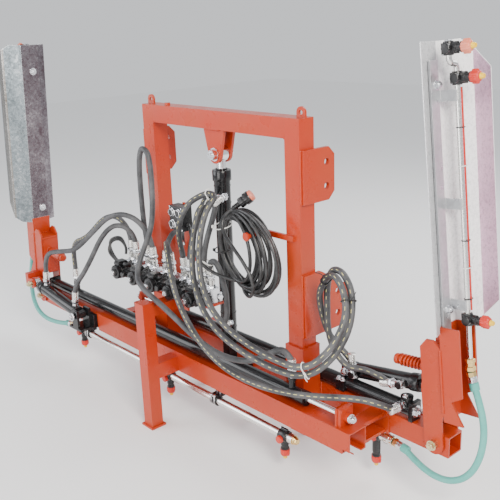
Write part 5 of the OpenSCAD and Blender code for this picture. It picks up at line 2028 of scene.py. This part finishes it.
@dataclass
class Cylinders:
    """Rings, glands and adapters on the five hydraulic cylinders."""

    def build(self, looks: Finishes) -> None:
        """Dresses each cylinder.

        Args:
            looks: The machine's finishes.
        """
        self.feed(looks)
        self.tilt(looks)
        self.lift(looks)

    def feed(self, looks: Finishes) -> None:
        """The two long cylinders on the rails.

        Args:
            looks: The machine's finishes.
        """
        left = Shape()
        for x in (-722, 338):
            PortFitting((x, 30, 286), (0, 0, 1)).add(left, looks)
        left.lathe([(16, 0), (18.6, 0.5), (19, 2), (19, 20), (18, 22), (12, 23), (9.2, 24)],
                   at(366, 30, FEED_HEIGHT), OUT, looks.black, 48)
        left.lathe([(8.3, 0), (10.6, 0.4), (10.6, 3), (8.3, 3.6)], at(390, 30, FEED_HEIGHT), OUT,
                   looks.plastic, 32)
        left.lathe([(17, 0), (19.6, 0.6), (19.6, 7), (17, 7.6)], at(-880, 30, FEED_HEIGHT), OUT,
                   looks.black, 48)
        left.make("left_feed_fittings", Body.LEFT_BOOM, Slot.STEEL)
        right = Shape()
        PortFitting((-378, 164, 286), (0, 0, 1)).add(right, looks)
        PortFitting((590, 134, 246), (0, -1, 0)).add(right, looks)
        right.lathe([(16, 0), (18.6, 0.5), (19, 2), (19, 20), (18, 22), (12, 23), (9.2, 24)],
                    at(-406, 164, FEED_HEIGHT), -OUT, looks.black, 48)
        right.lathe([(8.3, 0), (10.6, 0.4), (10.6, 3), (8.3, 3.6)],
                    at(-430, 164, FEED_HEIGHT), -OUT, looks.plastic, 32)
        right.lathe([(14.6, 258), (15.6, 259), (15.6, 262.6), (13, 263.2)], at(590, 164, 0), UP,
                    looks.black, 36)
        right.make("right_feed_fittings", Body.RIGHT_BOOM, Slot.STEEL)

    def tilt(self, looks: Finishes) -> None:
        """The two short cylinders that tilt the arms.

        Args:
            looks: The machine's finishes.
        """
        sets = (
            ("left", Body.LEFT_CYLINDER, TILT_BASES[-1], TILT_LUGS[-1],
             ((-625.2, -36, 242.9), (-820.1, -36, 269.1)), (0.1328, 0, 0.991)),
            ("right", Body.RIGHT_CYLINDER, TILT_BASES[1], TILT_LUGS[1],
             ((429.6, 144, 267.1), (576, 144, 290.4)), (0, -1, 0)),
        )
        turns = (((429.6, 154, 267.1), (-0.1576, 0, 0.9877)),
                 ((576, 154, 290.4), (-0.9877, 0, -0.1576)))
        for name, body, base, lug, ports, way in sets:
            shape = Shape()
            for port in ports:
                PortFitting(port, way).add(shape, looks)
            if name == "right":
                for port, turn in turns:
                    shape.lathe([(7, -10), (9, -9), (9.6, -6), (9.6, 8), (8.6, 10), (8.6, 14),
                                 (10, 14.6), (10, 19.6)], at(*port), Vector(turn),
                                looks.zinc_small, 20)
            axis = (at(*lug) - at(*base)).normalized()
            length = (at(*lug) - at(*base)).length * 1000
            o = at(*base)
            shape.lathe([(18, length - 66), (22.2, length - 65), (22.6, length - 63),
                         (22.6, length - 44), (21, length - 41), (10, length - 39.6)], o, axis,
                        looks.black, 48)
            shape.lathe([(8.4, length - 40), (10.6, length - 39.4), (10.6, length - 37),
                         (8.4, length - 36.4)], o, axis, looks.plastic, 32)
            shape.lathe([(18.6, 13), (21.0, 13.6), (21.0, 19.6), (19.6, 21)], o, axis,
                        looks.black, 48)
            shape.make(f"{name}_tilt_fittings", body, Slot.STEEL)

    def lift(self, looks: Finishes) -> None:
        """The upright cylinder between the posts.

        Args:
            looks: The machine's finishes.
        """
        shape = Shape()
        for z in (676, 306):
            shape.lathe([(7, 0), (11, 0.5), (11, 8), (10, 9)],
                        at(20, 93, z) + Vector((0, 0.014, 0)), NEAR,
                        looks.zinc_small, 6)
        shape.lathe([(22, 716), (25.6, 717), (26, 719), (26, 744), (24.6, 746.4), (14, 747.4)],
                    at(0, 113, 0), UP, looks.black, 56)
        shape.lathe([(12.9, 747), (16, 747.6), (16, 750), (12.9, 750.8)], at(0, 113, 0), UP,
                    looks.plastic, 36)
        for z in (286, 330, 652, 700):
            shape.lathe([(22, z), (23.4, z + 0.6), (23.4, z + 4.4), (22, z + 5)], at(0, 113, 0),
                        UP, looks.black, 56)
        shape.make("lift_cylinder_fittings", Body.CARRIAGE, Slot.STEEL)


# ---- frame dressing


@dataclass
class FrameDressing:
    """Bolts, welds, clamps and small parts on rails, posts and booms."""

    def build(self, looks: Finishes) -> None:
        """Makes every set.

        Args:
            looks: The machine's finishes.
        """
        self.bolts(looks)
        self.welds(looks)
        self.clamps(looks)
        self.socket_block(looks)

    def bolts(self, looks: Finishes) -> None:
        """Bolt heads by body.

        Args:
            looks: The machine's finishes.
        """
        carriage = [(at(x, 76, 380), UP, 0.9) for x in (-410, -235, -145, 4)]
        carriage += [(at(529, 30, FEED_HEIGHT), OUT, 1.3), (at(-529, 164, FEED_HEIGHT), -OUT, 1.3)]
        portal = [(at(0, 91.6, 790), NEAR, 1.9), (at(0, 134.4, 790), -NEAR, 1.9)]
        left = [(at(-598, -66.4, 205), NEAR, 1.3), (at(-892, 30, FEED_HEIGHT), -OUT, 1.6)]
        right = [(at(398, 162.6, 262), NEAR, 1.3), (at(590, 157, 263), UP, 0.85),
                 (at(616, 164, FEED_HEIGHT), OUT, 1.6), (at(389, 148, 243), UP, 0.8),
                 (at(402, 148, 243), UP, 0.8)]
        for name, body, places in (
            ("carriage", Body.CARRIAGE, carriage), ("portal", Body.PORTAL, portal),
            ("left_boom", Body.LEFT_BOOM, left), ("right_boom", Body.RIGHT_BOOM, right),
        ):
            bolt_set(f"{name}_bolts", places, looks.zinc_small, body)

    def welds(self, looks: Finishes) -> None:
        """Weld beads by body.

        Args:
            looks: The machine's finishes.
        """
        carriage = []
        for cx in (-295, 295):
            for x in (cx - 34, cx + 34):
                carriage.append([at(x, 60.5, 150 + 60 * t) for t in (0, 1)])
                carriage.append([at(x, 145.5, 150 + 60 * t) for t in (0, 1)])
        for y in (7, 53):
            carriage.append([at(504, y, z) for z in (211, 254)])
        carriage.append([at(x, 27, 373) for x in (-180, -126, -70)])
        portal = []
        for cx, s in ((-295, -1), (295, 1)):
            face = cx + s * 25.5
            for y in (90, 136):
                portal.append([at(face, y, z) for z in (702, 760, 830)])
                portal.append([at(face, y, z) for z in (354, 430, 518)])
            portal.append([at(cx - s * 25.5, y, 857.5) for y in (89, 113, 137)])
        for y in (91, 135):
            portal.append([at(x, y, 857) for x in (-24, 0, 24)])
        for name, body, lines in (("carriage", Body.CARRIAGE, carriage),
                                  ("portal", Body.PORTAL, portal)):
            WeldBeads(looks.orange).run(f"{name}_welds", line_mesh(f"{name}_lines", lines),
                                        body, Slot.PAINT)

    def clamps(self, looks: Finishes) -> None:
        """Pipe clamps where the hangers hold the spray pipes.

        Args:
            looks: The machine's finishes.
        """
        sets = (("left", Body.LEFT_BOOM, (-640, 48), *FRONT_PIPE),
                ("right", Body.RIGHT_BOOM, (-300, 440), *REAR_PIPE))
        for name, body, xs, y, z in sets:
            shape = Shape()
            for x in xs:
                for dx in (-7, 7):
                    loop = [at(x + dx, y - 13, z + 19)]
                    for i in range(13):
                        a = math.pi + math.pi * i / 12
                        loop.append(at(x + dx, y + 13 * math.cos(a), z + 13 * math.sin(a)))
                    loop.append(at(x + dx, y + 13, z + 19))
                    shape.sweep(loop, 2.4, looks.chrome, 12)
                    for s in (-13, 13):
                        shape.lathe([(4.6, 0), (5.2, 0.4), (5.2, 4), (4.4, 4.6)],
                                    at(x + dx, y + s, z + 17), UP,
                                    looks.zinc_small, 6)
            shape.make(f"{name}_pipe_clamps", body, Slot.STEEL)

    def socket_block(self, looks: Finishes) -> None:
        """Rims and contacts of the four round sockets on the cable block.

        Args:
            looks: The machine's finishes.
        """
        shape = Shape()
        for x in (-143, -113):
            for z in (584, 618):
                o = at(x, 44, z)
                shape.lathe([(9, 0), (12.4, 0.4), (12.4, 2.6), (11, 3.4), (10.6, 8), (9.4, 8.6),
                             (8.8, 8), (8.6, 5.4)], o, NEAR, looks.zinc_small, 32)
                for i in range(5):
                    a = 2 * math.pi * i / 5
                    shape.lathe([(0.9, 4), (1.1, 5), (1.1, 7.4), (0.6, 8)],
                                o + Vector((math.cos(a) * 0.0048, 0, math.sin(a) * 0.0048)),
                                NEAR, looks.brass, 10)
        for x in (-154, -102):
            for z in (570, 632):
                shape.lathe([(2.6, 0), (2.9, 0.3), (2.9, 1.8), (2.2, 2.2)], at(x, 44, z), NEAR,
                            looks.zinc_small, 16)
        shape.make("socket_rims", Body.CARRIAGE, Slot.PLASTIC)


# ---- finishes on the frame


def finish_frame(looks: Finishes) -> None:
    """Gives every node of the frame its finish.

    Args:
        looks: The machine's finishes.
    """
    by_slot = {
        Slot.PAINT: looks.orange, Slot.BLACK: looks.black, Slot.ZINC: looks.zinc,
        Slot.STEEL: looks.steel, Slot.CHROME: looks.chrome, Slot.HOSE: looks.hose,
        Slot.SPRAY_HOSE: looks.green, Slot.PLASTIC: looks.plastic, Slot.RED: looks.cap,
        Slot.CABLE: looks.cable,
    }
    slots = {n["node"]: n["material_slot"] for n in frame["record"]["subparts"]
             if n.get("material_slot")}
    named = {"left_pins": looks.passivated, "right_pins": looks.passivated,
             "left_brackets": looks.black, "right_brackets": looks.black,
             "left_strap": looks.zinc, "right_strap": looks.zinc,
             "left_shield": looks.zinc_left_painted_shade, "right_shield": looks.zinc_right_painted_light,
             "feed_rods": looks.chrome}
    for name, node in frame["nodes"].items():
        finish = named.get(name) or by_slot[Slot(slots.get(name, "orange_paint"))]
        if node.material_slots:
            for place in node.material_slots:
                place.material = finish
        else:
            node.data.materials.append(finish)
    log.info("finished %d frame nodes", len(frame["nodes"]))


@dataclass
class Studio:
    """Camera, lights and floor."""

    eye: Point = (1555, -1175, 1136)
    right: Point = (0.67178, 0.73983, -0.03684)
    up: Point = (-0.19429, 0.22398, 0.95503)
    forward: Point = (-0.71481, 0.63442, -0.29421)
    focal: float = 54.3

    def build(self) -> None:
        """Makes the camera, the lights, the surroundings and the floor."""
        data = bpy.data.cameras.new("camera")
        data.lens = self.focal
        data.sensor_width = 36.0
        data.clip_start = 0.01
        data.clip_end = 60.0
        camera = bpy.data.objects.new("camera", data)
        r, u, v = (Vector(w).normalized() for w in (self.right, self.up, self.forward))
        place = Matrix.Identity(4)
        for i in range(3):
            place[i][0], place[i][1], place[i][2] = r[i], u[i], -v[i]
        place.translation = at(*self.eye)
        camera.matrix_world = place
        bpy.context.collection.objects.link(camera)
        bpy.context.scene.camera = camera
        self.light("key", (2700, -1100, 2300), 1.1, 130.0, (1.0, 0.95, 0.88))
        self.light("fill", (-2300, -2300, 1600), 2.2, 70.0, (0.95, 0.96, 1.0))
        self.light("rim", (200, 2500, 2500), 2.0, 60.0, (1.0, 1.0, 1.0))
        self.light("front", (500, -2900, 900), 1.6, 48.0, (1.0, 0.98, 0.96))
        world = bpy.data.worlds.new("surroundings")
        world.use_nodes = True
        back = world.node_tree.nodes["Background"]
        back.inputs[0].default_value = (0.95, 0.97, 1.0, 1.0)
        back.inputs[1].default_value = 0.85
        bpy.context.scene.world = world
        self.floor()

    def light(self, name: str, place: Point, size: float, power: float, colour: Point) -> None:
        """Adds a square soft light aimed at the machine's middle.

        Args:
            name: The light's name.
            place: Where it is, in millimetres.
            size: Its side in metres.
            power: Its power in watts.
            colour: Its colour.
        """
        data = bpy.data.lights.new(name, "AREA")
        data.size = size
        data.energy = power
        data.color = colour
        lamp = bpy.data.objects.new(name, data)
        lamp.location = at(*place)
        aim = at(-100, 100, 450) - lamp.location
        lamp.rotation_euler = aim.to_track_quat("-Z", "Y").to_euler()
        bpy.context.collection.objects.link(lamp)

    def floor(self) -> None:
        """Adds the pale floor."""
        mesh = bmesh.new()
        bmesh.ops.create_grid(mesh, x_segments=1, y_segments=1, size=9.0)
        data = bpy.data.meshes.new("floor")
        mesh.to_mesh(data)
        mesh.free()
        floor = bpy.data.objects.new("floor", data)
        sheet = NodeSheet("pale_floor")
        sheet.shader.inputs["Base Color"].default_value = (0.93, 0.93, 0.93, 1.0)
        sheet.shader.inputs["Roughness"].default_value = 0.9
        data.materials.append(sheet.material)
        bpy.context.collection.objects.link(floor)


def main() -> None:
    """Builds the finishes, then each assembly in order."""
    logging.basicConfig(level=logging.INFO, format="%(message)s")
    looks = Finishes()
    finish_frame(looks)
    FrameDressing().build(looks)
    ValveBank().build(looks)
    Cylinders().build(looks)
    SprayLine().build(looks)
    for side in (-1, 1):
        Arm(side).build(looks)
    Plumbing().build(looks)
    ControlCable().build(looks)
    Studio().build()
    bpy.context.view_layer.update()
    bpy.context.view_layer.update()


if __name__ == "__main__":
    main()
